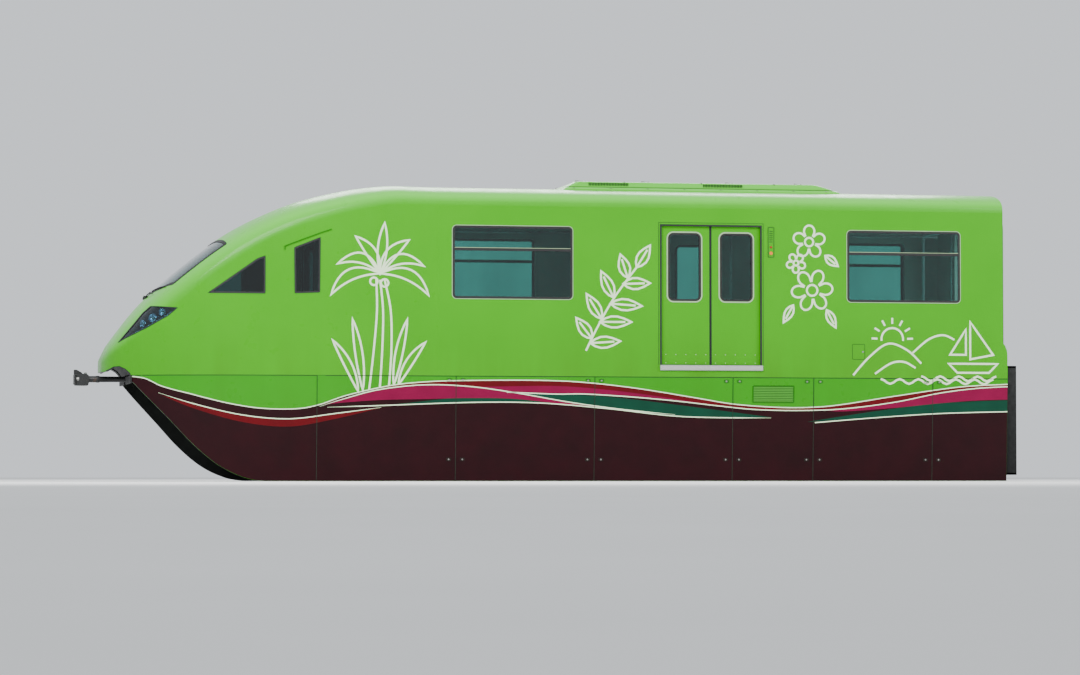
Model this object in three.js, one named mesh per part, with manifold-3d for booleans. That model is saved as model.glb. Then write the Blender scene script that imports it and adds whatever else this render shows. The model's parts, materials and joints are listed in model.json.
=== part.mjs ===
// Lead car of a straddle monorail train: a driving car with a long sloping nose, carried by two bogies.
// Millimetres. The nose points to -X, the gangway end to +X, the left side is -Y, up is +Z.
// The origin is on the top of the guideway beam, below the middle of the car: z = 0 is the running surface.

import * as THREE from 'three';
import { mergeVertices } from 'three/addons/utils/BufferGeometryUtils.js';
import Module from 'manifold-3d';

const wasm = await Module();
wasm.setup();

// Driving dimensions

const GAP = 0.3; // between pieces that touch

const HALF_WIDTH = 1325;
const WALL = 115; // whole side wall, outer skin to lining
const REAR_X = 6000;
const CAB_X = -1650; // joint of the cab shell with the side walls and roof
const SILL_Z = 620; // door sill and saloon floor
const CREASE_Z = 460; // lower edge of the walls, where the skirts begin
const CANTRAIL_Z = 2680; // top of the side walls
const ROOF_Z = 2975; // roof at the middle
const FLOOR_DEPTH = 120;
const SKIRT_Z = -900; // lowest point of the car
const SKIRT_THICK = 40;
const SKIRT_LEAN = 70; // how far the skirt leans in at its foot
const SKIRT_JOINT_X = -3235;

const BEAM_HALF = 400; // half the width of the beam that the car straddles
const BOGIES = [
  { name: 'front', x: -3200 },
  { name: 'rear', x: 4150 },
];
const AXLE_OFFSET = 750;
const TYRE_R = 430;
const TYRE_WIDTH = 215;
const TWIN_GAP = 40;
const GUIDE_R = 280;
const GUIDE_OFFSET = 1000;
const GUIDE_Z = -230; // middle of a guide wheel
const STABLE_Z = -710; // middle of a stabilising wheel
const SIDE_WHEEL_WIDTH = 160;

// Materials

const PAINT = {
  body: [0x70b800, 0.3, 0.0],
  skirt: [0x5ea200, 0.35, 0.0],
  glass: [0x14201f, 0.08, 0.0],
  lamp: [0x1d3a44, 0.1, 0.0],
  rubber: [0x1c1c1c, 0.85, 0.0],
  bellows: [0x3a2a20, 0.8, 0.0],
  steel: [0x6e7275, 0.45, 0.8],
  frame: [0x34383b, 0.6, 0.3],
  lining: [0xd8d8d0, 0.6, 0.0],
  seat: [0x1f8f86, 0.8, 0.0],
  desk: [0x2b2e30, 0.6, 0.0],
};

// Solids

function solidOf(geometry) {
  const bare = geometry.clone();
  bare.deleteAttribute('normal');
  bare.deleteAttribute('uv');
  const merged = mergeVertices(bare, 1e-4);
  return new wasm.Manifold(new wasm.Mesh({
    numProp: 3,
    vertProperties: new Float32Array(merged.attributes.position.array),
    triVerts: new Uint32Array(merged.index.array),
  }));
}

function geometryOf(solid) {
  const mesh = solid.getMesh();
  const geometry = new THREE.BufferGeometry();
  geometry.setAttribute('position', new THREE.BufferAttribute(mesh.vertProperties, 3));
  geometry.setIndex(new THREE.BufferAttribute(mesh.triVerts, 1));
  geometry.computeVertexNormals();
  return geometry;
}

function block([x0, x1], [y0, y1], [z0, z1]) {
  const box = new THREE.BoxGeometry(x1 - x0, y1 - y0, z1 - z0);
  return solidOf(box.translate((x0 + x1) / 2, (y0 + y1) / 2, (z0 + z1) / 2));
}

function extruded(points, depth, u, v, w) {
  const shape = new THREE.Shape(points.map(([a, b]) => new THREE.Vector2(a, b)));
  const geometry = new THREE.ExtrudeGeometry(shape, { depth, bevelEnabled: false });
  return geometry.applyMatrix4(new THREE.Matrix4().makeBasis(u, v, w));
}

const X = new THREE.Vector3(1, 0, 0);
const Y = new THREE.Vector3(0, 1, 0);
const Z = new THREE.Vector3(0, 0, 1);
const BACK = new THREE.Vector3(0, -1, 0);

// An outline in (y, z), drawn out along X.
const alongX = (points, [x0, x1]) => solidOf(extruded(points, x1 - x0, Y, Z, X).translate(x0, 0, 0));
// An outline in (x, z), drawn out along Y.
const alongY = (points, [y0, y1]) => solidOf(extruded(points, y1 - y0, X, Z, BACK).translate(0, y1, 0));
// An outline in (x, y), drawn out along Z.
const alongZ = (points, [z0, z1]) => solidOf(extruded(points, z1 - z0, X, Y, Z).translate(0, 0, z0));

const mirrorY = (solid) => solid.mirror([0, 1, 0]);
const joined = (solids) => solids.reduce((all, next) => all.add(next));

// Corner points of a rectangle with round corners.
function roundedRect([u0, u1], [v0, v1], radius, steps = 4) {
  const corners = [
    [u1 - radius, v0 + radius, -90],
    [u1 - radius, v1 - radius, 0],
    [u0 + radius, v1 - radius, 90],
    [u0 + radius, v0 + radius, 180],
  ];
  return corners.flatMap(([u, v, start]) => Array.from({ length: steps + 1 }, (_, i) => {
    const angle = THREE.MathUtils.degToRad(start + (90 * i) / steps);
    return [u + radius * Math.cos(angle), v + radius * Math.sin(angle)];
  }));
}

// A turned solid about Z from (radius, height) points that start and end on the axis.
function turned(profile, segments) {
  const points = profile.map(([r, h]) => new THREE.Vector2(r, h));
  return new THREE.LatheGeometry(points, segments).rotateX(Math.PI / 2);
}

function cylinderZ([x, y], radius, [z0, z1], segments = 20) {
  const geometry = new THREE.CylinderGeometry(radius, radius, z1 - z0, segments).rotateX(Math.PI / 2);
  return solidOf(geometry.translate(x, y, (z0 + z1) / 2));
}

function cylinderY([x, z], radius, [y0, y1], segments = 24) {
  const geometry = new THREE.CylinderGeometry(radius, radius, y1 - y0, segments);
  return solidOf(geometry.translate(x, (y0 + y1) / 2, z));
}

// A closed skin over rings of equal point count, with a flat cap on each end.
function loft(rings) {
  const count = rings[0].length;
  const middle = (ring) => [0, 1, 2].map((k) => ring.reduce((sum, p) => sum + p[k], 0) / count);
  const last = rings.length - 1;
  const points = [...rings.flat(), middle(rings[0]), middle(rings[last])];
  const faces = [];
  for (let r = 0; r < last; r += 1) {
    for (let i = 0; i < count; i += 1) {
      const [a, b] = [r * count + i, r * count + ((i + 1) % count)];
      faces.push(a, b, b + count, a, b + count, a + count);
    }
  }
  const [first, end] = [rings.length * count, rings.length * count + 1];
  for (let i = 0; i < count; i += 1) {
    const next = (i + 1) % count;
    faces.push(first, next, i, end, last * count + i, last * count + next);
  }
  const geometry = new THREE.BufferGeometry();
  geometry.setAttribute('position', new THREE.Float32BufferAttribute(points.flat(), 3));
  geometry.setIndex(faces);
  return solidOf(geometry);
}

// The scene

const car = new THREE.Group();

function addGeometry(name, geometry, paint, place = [0, 0, 0]) {
  const [color, roughness, metalness] = PAINT[paint];
  const mesh = new THREE.Mesh(geometry, new THREE.MeshStandardMaterial({ color, roughness, metalness }));
  mesh.name = name;
  mesh.position.set(...place);
  car.add(mesh);
}

const add = (name, solid, paint) => addGeometry(name, geometryOf(solid), paint);

// Both sides of the car: the left one is at -Y.
const SIDES = [
  { side: 'left', of: (solid) => solid },
  { side: 'right', of: mirrorY },
];
function addBothSides(name, leftSolid, paint) {
  for (const { side, of } of SIDES) add(`${name}_${side}`, of(leftSolid), paint);
}

// Body section

// The roof above height `spring` is a superellipse that turns out of the vertical wall.
const ROOF_POWER = 2.8;
const ROOF_STEPS = 8;
function roofCurve(halfWidth, spring, top) {
  return Array.from({ length: ROOF_STEPS + 1 }, (_, i) => {
    const angle = (Math.PI / 2) * (i / ROOF_STEPS);
    const y = -halfWidth * Math.cos(angle) ** (2 / ROOF_POWER);
    return [y, spring + (top - spring) * Math.sin(angle) ** (2 / ROOF_POWER)];
  });
}

// Whole section, from the foot at the left side over the roof to the foot at the right side.
function bodySection(halfWidth, foot, spring, top) {
  const left = [[-halfWidth, foot], ...roofCurve(halfWidth, spring, top)];
  const right = left.slice(0, -1).reverse().map(([y, z]) => [-y, z]);
  return [...left, ...right].reverse();
}

// Cab shell

// Sections of the nose, from the cab joint to the tip.
const CAB_SECTIONS = [
  // x, half width, spring (where the side turns into the roof), top
  [CAB_X, HALF_WIDTH, CANTRAIL_Z, ROOF_Z],
  [-2150, HALF_WIDTH, 2680, 2985],
  [-2600, HALF_WIDTH, 2620, 2945],
  [-3000, HALF_WIDTH, 2520, 2868],
  [SKIRT_JOINT_X - 200, 1318, 2390, 2750],
  [-3850, 1300, 2210, 2580],
  [-4262, 1265, 1960, 2365],
  [-4700, 1200, 1640, 2050],
  [-5012, 1120, 1360, 1795],
  [-5277, 1020, 1120, 1550],
  [-5485, 910, 940, 1330],
  [-5694, 745, 780, 1065],
  [-5820, 600, 690, 895],
  [-5890, 470, 640, 795],
  [-5926, 330, 600, 700],
];
const CAB_WALL = 80;

// The nose moved in by `inset` along its own normals, with its foot at `foot`.
function cabLoft(inset, foot) {
  const slope = (from, to, column) => Math.atan2(from[column] - to[column], from[0] - to[0]);
  const rings = CAB_SECTIONS.map((section, i) => {
    const [x, halfWidth, spring, top] = section;
    const before = CAB_SECTIONS[Math.max(i - 1, 0)];
    const after = CAB_SECTIONS[Math.min(i + 1, CAB_SECTIONS.length - 1)];
    const pitch = i === 0 ? 0 : slope(before, after, 3);
    const taper = i === 0 ? 0 : slope(before, after, 1);
    const back = inset * Math.sin(pitch);
    const narrower = (inset - back * Math.sin(taper)) / Math.cos(taper);
    const lower = inset * Math.cos(pitch);
    const ring = bodySection(halfWidth - narrower, foot, spring - lower, top - lower);
    return ring.map(([y, z]) => [x + back, y, z]);
  });
  return loft(rings.reverse());
}
const cabBand = (outer, inner) => cabLoft(outer, CREASE_Z).subtract(cabLoft(inner, CREASE_Z - 10));

// Openings of the cab, as (x, z) outlines on the side and one (x, y) outline seen from above.
const QUARTER_LIGHT = [[-4640, 1515], [-3904, 1510], [-3904, 2000], [-4010, 1962]];
const CAB_WINDOW = [[-3530, 1515], [-3200, 1529], [-3194, 2245], [-3537, 2108]];
const HEADLAMP = [
  [-5745, 885], [-5640, 945], [-5405, 1065], [-5131, 1222], [-5011, 1328],
  [-5222, 1345], [-5342, 1356], [-5434, 1272], [-5538, 1142],
];
const WINDSCREEN = [
  [-5300, 0], [-5275, -350], [-5200, -650], [-5060, -925],
  [-4804, -1005], [-4378, -1085], [-4420, -700], [-4440, -350], [-4450, 0],
];
const mirrored = (points) => [...points, ...points.filter(([, y]) => y < 0).reverse().map(([x, y]) => [x, -y])];

// An outline grown by `margin` away from its middle.
function grown(points, margin) {
  const middle = [0, 1].map((k) => points.reduce((sum, p) => sum + p[k], 0) / points.length);
  return points.map(([u, v]) => {
    const [du, dv] = [u - middle[0], v - middle[1]];
    const scale = 1 + margin / Math.hypot(du, dv);
    return [middle[0] + du * scale, middle[1] + dv * scale];
  });
}

const CAB_SIDE_SPAN = [-1400, -600];
const LAMP_SPAN = [-1200, -330];
const SCREEN_SPAN = [1400, 2700];
const screenCutter = (margin) => alongZ(grown(mirrored(WINDSCREEN), margin), SCREEN_SPAN);
const sideCutter = (outline, margin, span) => alongY(grown(outline, margin), span);

const SLOT = 2; // cut round a pane, which its seal fills
// Below the nose the shell ends in a low arch on each side of the coupler.
const LIP_CUT = [
  [-5590, 300], [-5590, CREASE_Z - 5], [-5603, 488], [-5657, 542], [-5726, 577], [-5793, 573],
  [-5841, 543], [-5865, 520], [-5990, 520], [-5990, 300],
];

function cabShell() {
  const leftCutters = [
    sideCutter(QUARTER_LIGHT, 0, CAB_SIDE_SPAN),
    sideCutter(CAB_WINDOW, 0, CAB_SIDE_SPAN),
    sideCutter(HEADLAMP, 0, LAMP_SPAN),
  ];
  const cutters = [...leftCutters, ...leftCutters.map(mirrorY), screenCutter(0)];
  const lip = alongY(LIP_CUT, [-1000, 1000]);
  return cabBand(0, CAB_WALL).subtract(joined(cutters)).subtract(lip);
}
add('cab_shell', cabShell(), 'body');

const PANE = [4, 16]; // depth of a pane's two faces below the skin
const LAMP_DEPTH = [4, 60];
add('windscreen', cabBand(...PANE).intersect(screenCutter(-SLOT)), 'glass');
addBothSides('quarter_glass', cabBand(...PANE).intersect(sideCutter(QUARTER_LIGHT, -SLOT, CAB_SIDE_SPAN)), 'glass');
addBothSides('cab_window_glass', cabBand(...PANE).intersect(sideCutter(CAB_WINDOW, -SLOT, CAB_SIDE_SPAN)), 'glass');
addBothSides('headlamp', cabBand(...LAMP_DEPTH).intersect(sideCutter(HEADLAMP, -SLOT, LAMP_SPAN)), 'lamp');

// Side walls, with windows, doorways and door pockets

const WINDOW_Z = [1470, 2420];
const WINDOW_RADIUS = 55;
const WINDOWS = [
  { name: 'front', x: [-1470, 123] },
  { name: 'rear', x: [3840, 5404] },
];
const DOOR_X = [1305, 2663];
const DOOR_TOP = 2460;
const DOOR_MID = (DOOR_X[0] + DOOR_X[1]) / 2;
const DOOR_TRAVEL = 665;
const SKIN = 25; // outer skin, and lining, on each side of the pocket
const POCKET_Y = [SKIN - HALF_WIDTH, WALL - SKIN - HALF_WIDTH];
const LEAF_CLEAR = 10;
const LEAF_LAP = 22; // leaf behind the jamb when it is shut
const LEAF_Z = [SILL_Z + 6, DOOR_TOP + 35];
const INNER_Y = HALF_WIDTH - WALL;

const windowOutline = (x, margin) => roundedRect(
  [x[0] - margin, x[1] + margin],
  [WINDOW_Z[0] - margin, WINDOW_Z[1] + margin],
  WINDOW_RADIUS + margin,
);

// Low down, the walls and skirts reach further back than the roof does.
const TOE = 60;
const WALL_TOE = [
  [REAR_X - 20, 940], [REAR_X - 20, CREASE_Z], [REAR_X + TOE, CREASE_Z], [REAR_X + TOE, 780],
  [REAR_X + TOE - 7, 840], [REAR_X + TOE - 30, 900], [REAR_X, 940],
];

function sideWall() {
  const walls = block([CAB_X + GAP, REAR_X], [-HALF_WIDTH, -INNER_Y], [CREASE_Z, CANTRAIL_Z - GAP]);
  const whole = walls.add(alongY(WALL_TOE, [-HALF_WIDTH, -INNER_Y]));
  const through = [-HALF_WIDTH - 50, -INNER_Y + 50];
  const reach = DOOR_TRAVEL + LEAF_LAP + LEAF_CLEAR;
  const cuts = [
    ...WINDOWS.map(({ x }) => alongY(windowOutline(x, 0), through)),
    block(DOOR_X, through, [SILL_Z, DOOR_TOP]),
    block([DOOR_X[0] - reach, DOOR_X[1] + reach], POCKET_Y, [SILL_Z, LEAF_Z[1] + LEAF_CLEAR]),
  ];
  return whole.subtract(joined(cuts));
}
addBothSides('side_wall', sideWall(), 'body');

for (const { name, x } of WINDOWS) {
  const pane = alongY(windowOutline(x, -GAP), [-HALF_WIDTH + PANE[0], -HALF_WIDTH + PANE[1]]);
  addBothSides(`window_glass_${name}`, pane, 'glass');
}

// Door leaves: each slides into its own side of the doorway.
const LEAF_Y = [POCKET_Y[0] + LEAF_CLEAR, POCKET_Y[1] - LEAF_CLEAR];
const LEAF_WINDOW_Z = [1468, 2358];
const LEAF_WINDOW_FROM_MID = [131, 571];
const SEAM = 1; // half the gap between two shut leaves
const HANGERS_FROM_MID = [[90, 170], [560, 640]]; // two short runners that hang each leaf from its pocket
const HANGER_Z = [LEAF_Z[1] - 5, LEAF_Z[1] + LEAF_CLEAR - 0.5];
const HANGER_Y = [LEAF_Y[0] + 15, LEAF_Y[1] - 15];
for (const { name, toward } of [{ name: 'fore', toward: -1 }, { name: 'aft', toward: 1 }]) {
  const span = (near, far) => [DOOR_MID + toward * near, DOOR_MID + toward * far].sort((a, b) => a - b);
  const halfOpening = (DOOR_X[1] - DOOR_X[0]) / 2;
  const sheet = block(span(SEAM, halfOpening + LEAF_LAP), LEAF_Y, LEAF_Z);
  const hangers = HANGERS_FROM_MID.map(([near, far]) => block(span(near, far), HANGER_Y, HANGER_Z));
  const leaf = joined([sheet, ...hangers]);
  const light = (margin) => roundedRect(
    span(LEAF_WINDOW_FROM_MID[0] - margin, LEAF_WINDOW_FROM_MID[1] + margin),
    [LEAF_WINDOW_Z[0] - margin, LEAF_WINDOW_Z[1] + margin],
    70,
  );
  addBothSides(`door_leaf_${name}`, leaf.subtract(alongY(light(0), [-HALF_WIDTH, -INNER_Y])), 'body');
  const pane = alongY(light(-GAP), [LEAF_Y[0] + PANE[0], LEAF_Y[0] + PANE[1]]);
  addBothSides(`door_glass_${name}`, pane, 'glass');
}

// Roof, with its flat ceiling, and the air conditioner on it

const CEILING_Z = 2790;
function roof() {
  const ceiling = [[INNER_Y, CANTRAIL_Z], [INNER_Y - 60, CANTRAIL_Z + 65], [INNER_Y - 210, CEILING_Z]];
  const outer = roofCurve(HALF_WIDTH, CANTRAIL_Z, ROOF_Z);
  const over = [...outer, ...outer.slice(0, -1).reverse().map(([y, z]) => [-y, z])];
  const under = [...ceiling, ...ceiling.slice().reverse().map(([y, z]) => [-y, z])];
  return alongX([...over, ...under], [CAB_X + GAP, REAR_X]);
}
add('roof', roof(), 'body');

const COOLER_SIDE = [[95, 2850], [110, 2960], [225, 3062], [3630, 3062], [3929, 2955], [3935, 2850]];
const COOLER_END = [[-830, 2850], [-830, 2985], [-770, 3000], [-735, 3070], [735, 3070], [770, 3000], [830, 2985], [830, 2850]];
function roofCooler() {
  const whole = alongY(COOLER_SIDE, [-900, 900]).intersect(alongX(COOLER_END, [0, 4000]));
  const under = alongX(bodySection(HALF_WIDTH, SILL_Z, CANTRAIL_Z, ROOF_Z), [0, 4000]).translate([0, 0, GAP]);
  return whole.subtract(under);
}
add('roof_air_conditioner', roofCooler(), 'body');

// Rear end wall with the gangway, and this car's half of the bellows

const GANGWAY = { y: [-430, 430], z: [SILL_Z, 2500] };
const END_WALL_THICK = 115;
add('rear_end_wall', block(
  [REAR_X - END_WALL_THICK, REAR_X],
  [-INNER_Y + GAP, INNER_Y - GAP],
  [SILL_Z + GAP, CANTRAIL_Z - GAP],
).subtract(block([5000, 7000], GANGWAY.y, [0, GANGWAY.z[1]])), 'lining');

const BELLOWS = { x: [REAR_X + GAP, 6225], outer: 665, inner: 470, z: [560, 2660], wall: 100 };
const APRON = { half: 1195, z: [-820, 640], tunnel: 450, tunnelTop: 40, drawbar: 85, drawbarZ: [350, 480] };
function bellows() {
  const outer = roundedRect([-BELLOWS.outer, BELLOWS.outer], BELLOWS.z, 150);
  const [low, high] = BELLOWS.z;
  const inner = roundedRect([-BELLOWS.inner, BELLOWS.inner], [low + BELLOWS.wall, high - BELLOWS.wall], 60);
  const through = [REAR_X - 100, REAR_X + 400];
  const apron = block(BELLOWS.x, [-APRON.half, APRON.half], APRON.z);
  return alongX(outer, BELLOWS.x).add(apron).subtract(joined([
    alongX(inner, through),
    block(through, [-APRON.tunnel, APRON.tunnel], [-1000, APRON.tunnelTop]),
    block(through, [-APRON.drawbar, APRON.drawbar], APRON.drawbarZ),
  ]));
}
add('gangway_bellows', bellows(), 'bellows');

// Skirts

// Half width of the nose at x, from the cab sections.
function halfWidthAt(x) {
  const next = CAB_SECTIONS.findIndex((section) => section[0] <= x);
  if (next < 1) return HALF_WIDTH;
  const [[xa, wa], [xb, wb]] = [CAB_SECTIONS[next - 1], CAB_SECTIONS[next]];
  return wa + ((wb - wa) * (x - xa)) / (xb - xa);
}

const leanAt = (z) => (SKIRT_LEAN * (CREASE_Z - z)) / (CREASE_Z - SKIRT_Z);
const SKIRT_TOP = CREASE_Z - GAP;
const mainSkirt = alongX([
  [-HALF_WIDTH, SKIRT_TOP],
  [-HALF_WIDTH + SKIRT_LEAN, SKIRT_Z],
  [-HALF_WIDTH + SKIRT_LEAN + SKIRT_THICK, SKIRT_Z],
  [-HALF_WIDTH + SKIRT_THICK, SKIRT_TOP],
], [SKIRT_JOINT_X + 3, REAR_X + TOE]);
addBothSides('skirt_main', mainSkirt, 'skirt');

// The nose skirt follows the plan of the nose, and its foot rises to the lip.
const NOSE_SKIRT = [
  // x, foot
  [-5592, 405],
  [-5420, 215],
  [-5100, -120],
  [-4800, -440],
  [-4500, -690],
  [-4200, -840],
  [-3900, SKIRT_Z],
  [SKIRT_JOINT_X - 3, SKIRT_Z],
];
function noseSkirt() {
  const rings = NOSE_SKIRT.map(([x, foot]) => {
    const slope = (halfWidthAt(x + 120) - halfWidthAt(x - 120)) / 240;
    const across = SKIRT_THICK * Math.hypot(1, slope);
    const outer = -halfWidthAt(x);
    return [
      [x, outer, SKIRT_TOP],
      [x, outer + leanAt(foot), foot],
      [x, outer + leanAt(foot) + across, foot],
      [x, outer + across, SKIRT_TOP],
    ];
  });
  return loft(rings);
}
addBothSides('skirt_nose', noseSkirt(), 'skirt');

// Underframe: floor slab with a raised housing over the wheels of each bogie

const HOUSING = { inner: { x: 1210, y: 560, z: 960 }, wall: 25 };
const HOUSING_TOP = HOUSING.inner.z + HOUSING.wall;
const FLOOR_Z = [SILL_Z - FLOOR_DEPTH, SILL_Z];
const SLAB_FRONT_X = -5420;
const around = (middle, half) => [middle - half, middle + half];

function underframe() {
  const lining = cabLoft(CAB_WALL + GAP, CREASE_Z - 10);
  const front = block([SLAB_FRONT_X, CAB_X], [-HALF_WIDTH, HALF_WIDTH], FLOOR_Z).intersect(lining);
  const rear = block([CAB_X - 10, REAR_X], [-INNER_Y + GAP, INNER_Y - GAP], FLOOR_Z);
  const { inner, wall } = HOUSING;
  const shells = BOGIES.map(({ x }) => (
    block(around(x, inner.x + wall), around(0, inner.y + wall), [FLOOR_Z[0], HOUSING_TOP])
  ));
  const wells = BOGIES.map(({ x }) => block(around(x, inner.x), around(0, inner.y), [0, inner.z]));
  return joined([front, rear, ...shells]).subtract(joined(wells));
}
add('underframe', underframe(), 'frame');

const EQUIPMENT = [
  // x0, x1, depth below the floor
  [-1600, -520, 880],
  [-440, 760, 800],
  [840, 1560, 900],
  [1640, 2400, 760],
];
const EQUIPMENT_Y = [-1150, -540];
const EQUIPMENT_RAIL = 60;
const BEARER_HALF = 50;
function equipment() {
  const top = FLOOR_Z[0] - GAP;
  const boxes = EQUIPMENT.flatMap(([x0, x1, depth]) => {
    const left = block([x0, x1], EQUIPMENT_Y, [top - depth, top]);
    const bearer = block(around((x0 + x1) / 2, BEARER_HALF), around(0, -EQUIPMENT_Y[0]), [top - EQUIPMENT_RAIL, top]);
    return [left, mirrorY(left), bearer];
  });
  const rail = block([EQUIPMENT[0][0], 2400], EQUIPMENT_Y, [top - EQUIPMENT_RAIL, top]);
  return joined([rail, mirrorY(rail), ...boxes]);
}
add('underfloor_equipment', equipment(), 'frame');

// Saloon and cab fittings

const SEAT_TOP = 1070;
const SEAT_HALF = 590;
const BACK_TOP = 1500;
const BENCH = [
  [-SEAT_HALF, HOUSING_TOP + GAP], [-SEAT_HALF, SEAT_TOP], [-110, SEAT_TOP - 25], [-45, BACK_TOP],
  [45, BACK_TOP], [110, SEAT_TOP - 25], [SEAT_HALF, SEAT_TOP], [SEAT_HALF, HOUSING_TOP + GAP],
];
const FLOOR = SILL_Z + GAP;
const PARTITION_X = [-3120, -3080];
const BENCH_FRONT_X = [PARTITION_X[1] + GAP, 150];
const housingEnd = ({ x }, direction) => x + direction * (HOUSING.inner.x + HOUSING.wall + GAP);
const plinth = block([housingEnd(BOGIES[0], 1), BENCH_FRONT_X[1]], around(0, 560), [FLOOR, HOUSING_TOP + 10]);
add('bench_front', alongX(BENCH, BENCH_FRONT_X).add(plinth), 'seat');
add('bench_rear', alongX(BENCH, [2930, 5370]), 'seat');

const POST_R = 17;
const POST_Y = 640;
const POST_X = [-1800, 1220, 2750, 5500];
const RAIL_Z = 2480;
function handrails() {
  const posts = POST_X.flatMap((x) => [-POST_Y, POST_Y].map((y) => (
    cylinderZ([x, y], POST_R, [FLOOR, CEILING_Z - GAP], 8)
  )));
  const rail = cylinderZ([0, 0], POST_R, [-2900, 5700], 8).rotate([0, 90, 0]);
  const rails = [-POST_Y, POST_Y].map((y) => rail.translate([0, y, RAIL_Z]));
  const ties = POST_X.map((x) => cylinderY([x, RAIL_Z], POST_R, [-POST_Y, POST_Y], 8));
  return joined([...posts, ...rails, ...ties]);
}
add('handrails', handrails(), 'steel');

const insideCab = (solid) => solid.intersect(cabLoft(CAB_WALL + GAP, CREASE_Z - 10));

function partition() {
  const sheet = insideCab(block(PARTITION_X, [-1400, 1400], [FLOOR, 3000]));
  const window = [-100, 1050];
  const cuts = [
    block([-3200, -3000], around(0, HOUSING.inner.y + HOUSING.wall + GAP), [0, HOUSING_TOP + GAP]),
    block([-3200, -3000], [-1150, -640], [0, 2380]),
    alongX(roundedRect(window, [1480, 2250], 60), [-3200, -3000]),
  ];
  return sheet.subtract(joined(cuts));
}
add('cab_partition', partition(), 'lining');

const DESK = [[-5560, FLOOR], [-5560, 1330], [-5360, 1400], [-5060, 1250], [-5060, 1180], [-5260, 1120], [-5260, FLOOR]];
add('driver_desk', insideCab(alongY(DESK, [-700, 700])), 'desk');

const DRIVER_SEAT = [
  [-4880, FLOOR], [-4880, FLOOR + 30], [-4790, FLOOR + 30], [-4790, 960], [-4980, 970], [-4980, 1080],
  [-4560, 1060], [-4440, 1780], [-4370, 1770], [-4480, 960], [-4660, 950], [-4660, FLOOR + 30],
  [-4570, FLOOR + 30], [-4570, FLOOR],
];
add('driver_seat', alongY(DRIVER_SEAT, [-235, 235]), 'desk');

// Couplers

const SHANK_Z = [385, 475];
const COUPLER = { pocket: [-5250, -4850], shank: [-6140, -4900], head: [-6264, -6080] };
add('coupler_front', joined([
  block(COUPLER.pocket, [-190, 190], [340, FLOOR_Z[0] - GAP]),
  block(COUPLER.shank, [-55, 55], SHANK_Z),
  alongY([
    [COUPLER.head[0], 340], [COUPLER.head[0], 555], [COUPLER.head[0] + 40, 560],
    [COUPLER.head[0] + 75, 505], [COUPLER.head[1], 495], [COUPLER.head[1], 340],
  ], [-120, 120]),
]), 'rubber');

add('drawbar_rear', joined([
  block([5500, 5900], [-200, 200], [330, FLOOR_Z[0] - GAP]),
  block([5800, 6225], [-60, 60], [370, 460]),
]), 'rubber');

// Bogies

const CENTRE_PIN_R = 80;
const PIN_PLAY = 0.95; // of the centre pin and the axles in their bores
const SPINDLE_PLAY = 1.4; // of the side wheels' spindles, whose facets are coarser
const FRAME_Z = [130, 330];
const FRAME_Y = [300, 460];
const BOLSTER_Z = [365, FLOOR_Z[0] - GAP];
const SPRING = { y: 790, radius: 190, z: [185, BOLSTER_Z[0] + 5] };
const PIN_FOOT_Z = 150;
const AXLE_R = 60;
const STUB_R = 30;
const SIDE_WHEEL_Y = BEAM_HALF + GUIDE_R;
const ARM_Z = [-70, FRAME_Z[0] + 20];
const LEG_Y = [620, 780];
const FOOT_Z = [-600, -480];

function bolster() {
  const beam = block([-170, 170], [-1150, 1150], BOLSTER_Z);
  const springs = [-SPRING.y, SPRING.y].map((y) => cylinderZ([0, y], SPRING.radius, SPRING.z));
  return joined([beam, ...springs, cylinderZ([0, 0], CENTRE_PIN_R, [PIN_FOOT_Z, BOLSTER_Z[0] + 5], 24)]);
}

function bogieFrame() {
  const parts = [block([-190, 190], [-970, 970], [60, 175]), block([-190, 190], [-470, 470], [60, 300])];
  for (const sign of [-1, 1]) {
    const at = ([y0, y1]) => (sign < 0 ? [-y1, -y0] : [y0, y1]);
    parts.push(block([-1280, 1280], at(FRAME_Y), FRAME_Z));
    parts.push(block(around(sign * 1235, 45), around(0, 460), FRAME_Z));
    parts.push(block([-120, 120], at(LEG_Y), [FOOT_Z[0], 100]));
    parts.push(block([-120, 120], at([600, 780]), FOOT_Z));
    for (const end of [-1, 1]) {
      parts.push(block(around(end * AXLE_OFFSET, 115), at(FRAME_Y), [FRAME_Z[0], 520]));
      parts.push(block(around(end * GUIDE_OFFSET, 100), at([400, 770]), ARM_Z));
    }
    // One motor for each axle, on opposite sides.
    parts.push(block(around(sign * AXLE_OFFSET - sign * 90, 200), at([450, 880]), [90, 430]));
  }
  const bores = [cylinderZ([0, 0], CENTRE_PIN_R + PIN_PLAY, [0, 400], 24)];
  for (const end of [-1, 1]) {
    bores.push(cylinderY([end * AXLE_OFFSET, TYRE_R], AXLE_R + PIN_PLAY, [-1000, 1000]));
    for (const y of [-SIDE_WHEEL_Y, SIDE_WHEEL_Y]) {
      bores.push(cylinderZ([end * GUIDE_OFFSET, y], STUB_R + SPINDLE_PLAY, [-400, ARM_Z[0] + 100], 16));
    }
  }
  for (const y of [-SIDE_WHEEL_Y, SIDE_WHEEL_Y]) {
    bores.push(cylinderZ([0, y], STUB_R + SPINDLE_PLAY, [-700, FOOT_Z[0] + 100], 16));
  }
  return joined(parts).subtract(joined(bores));
}

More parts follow.
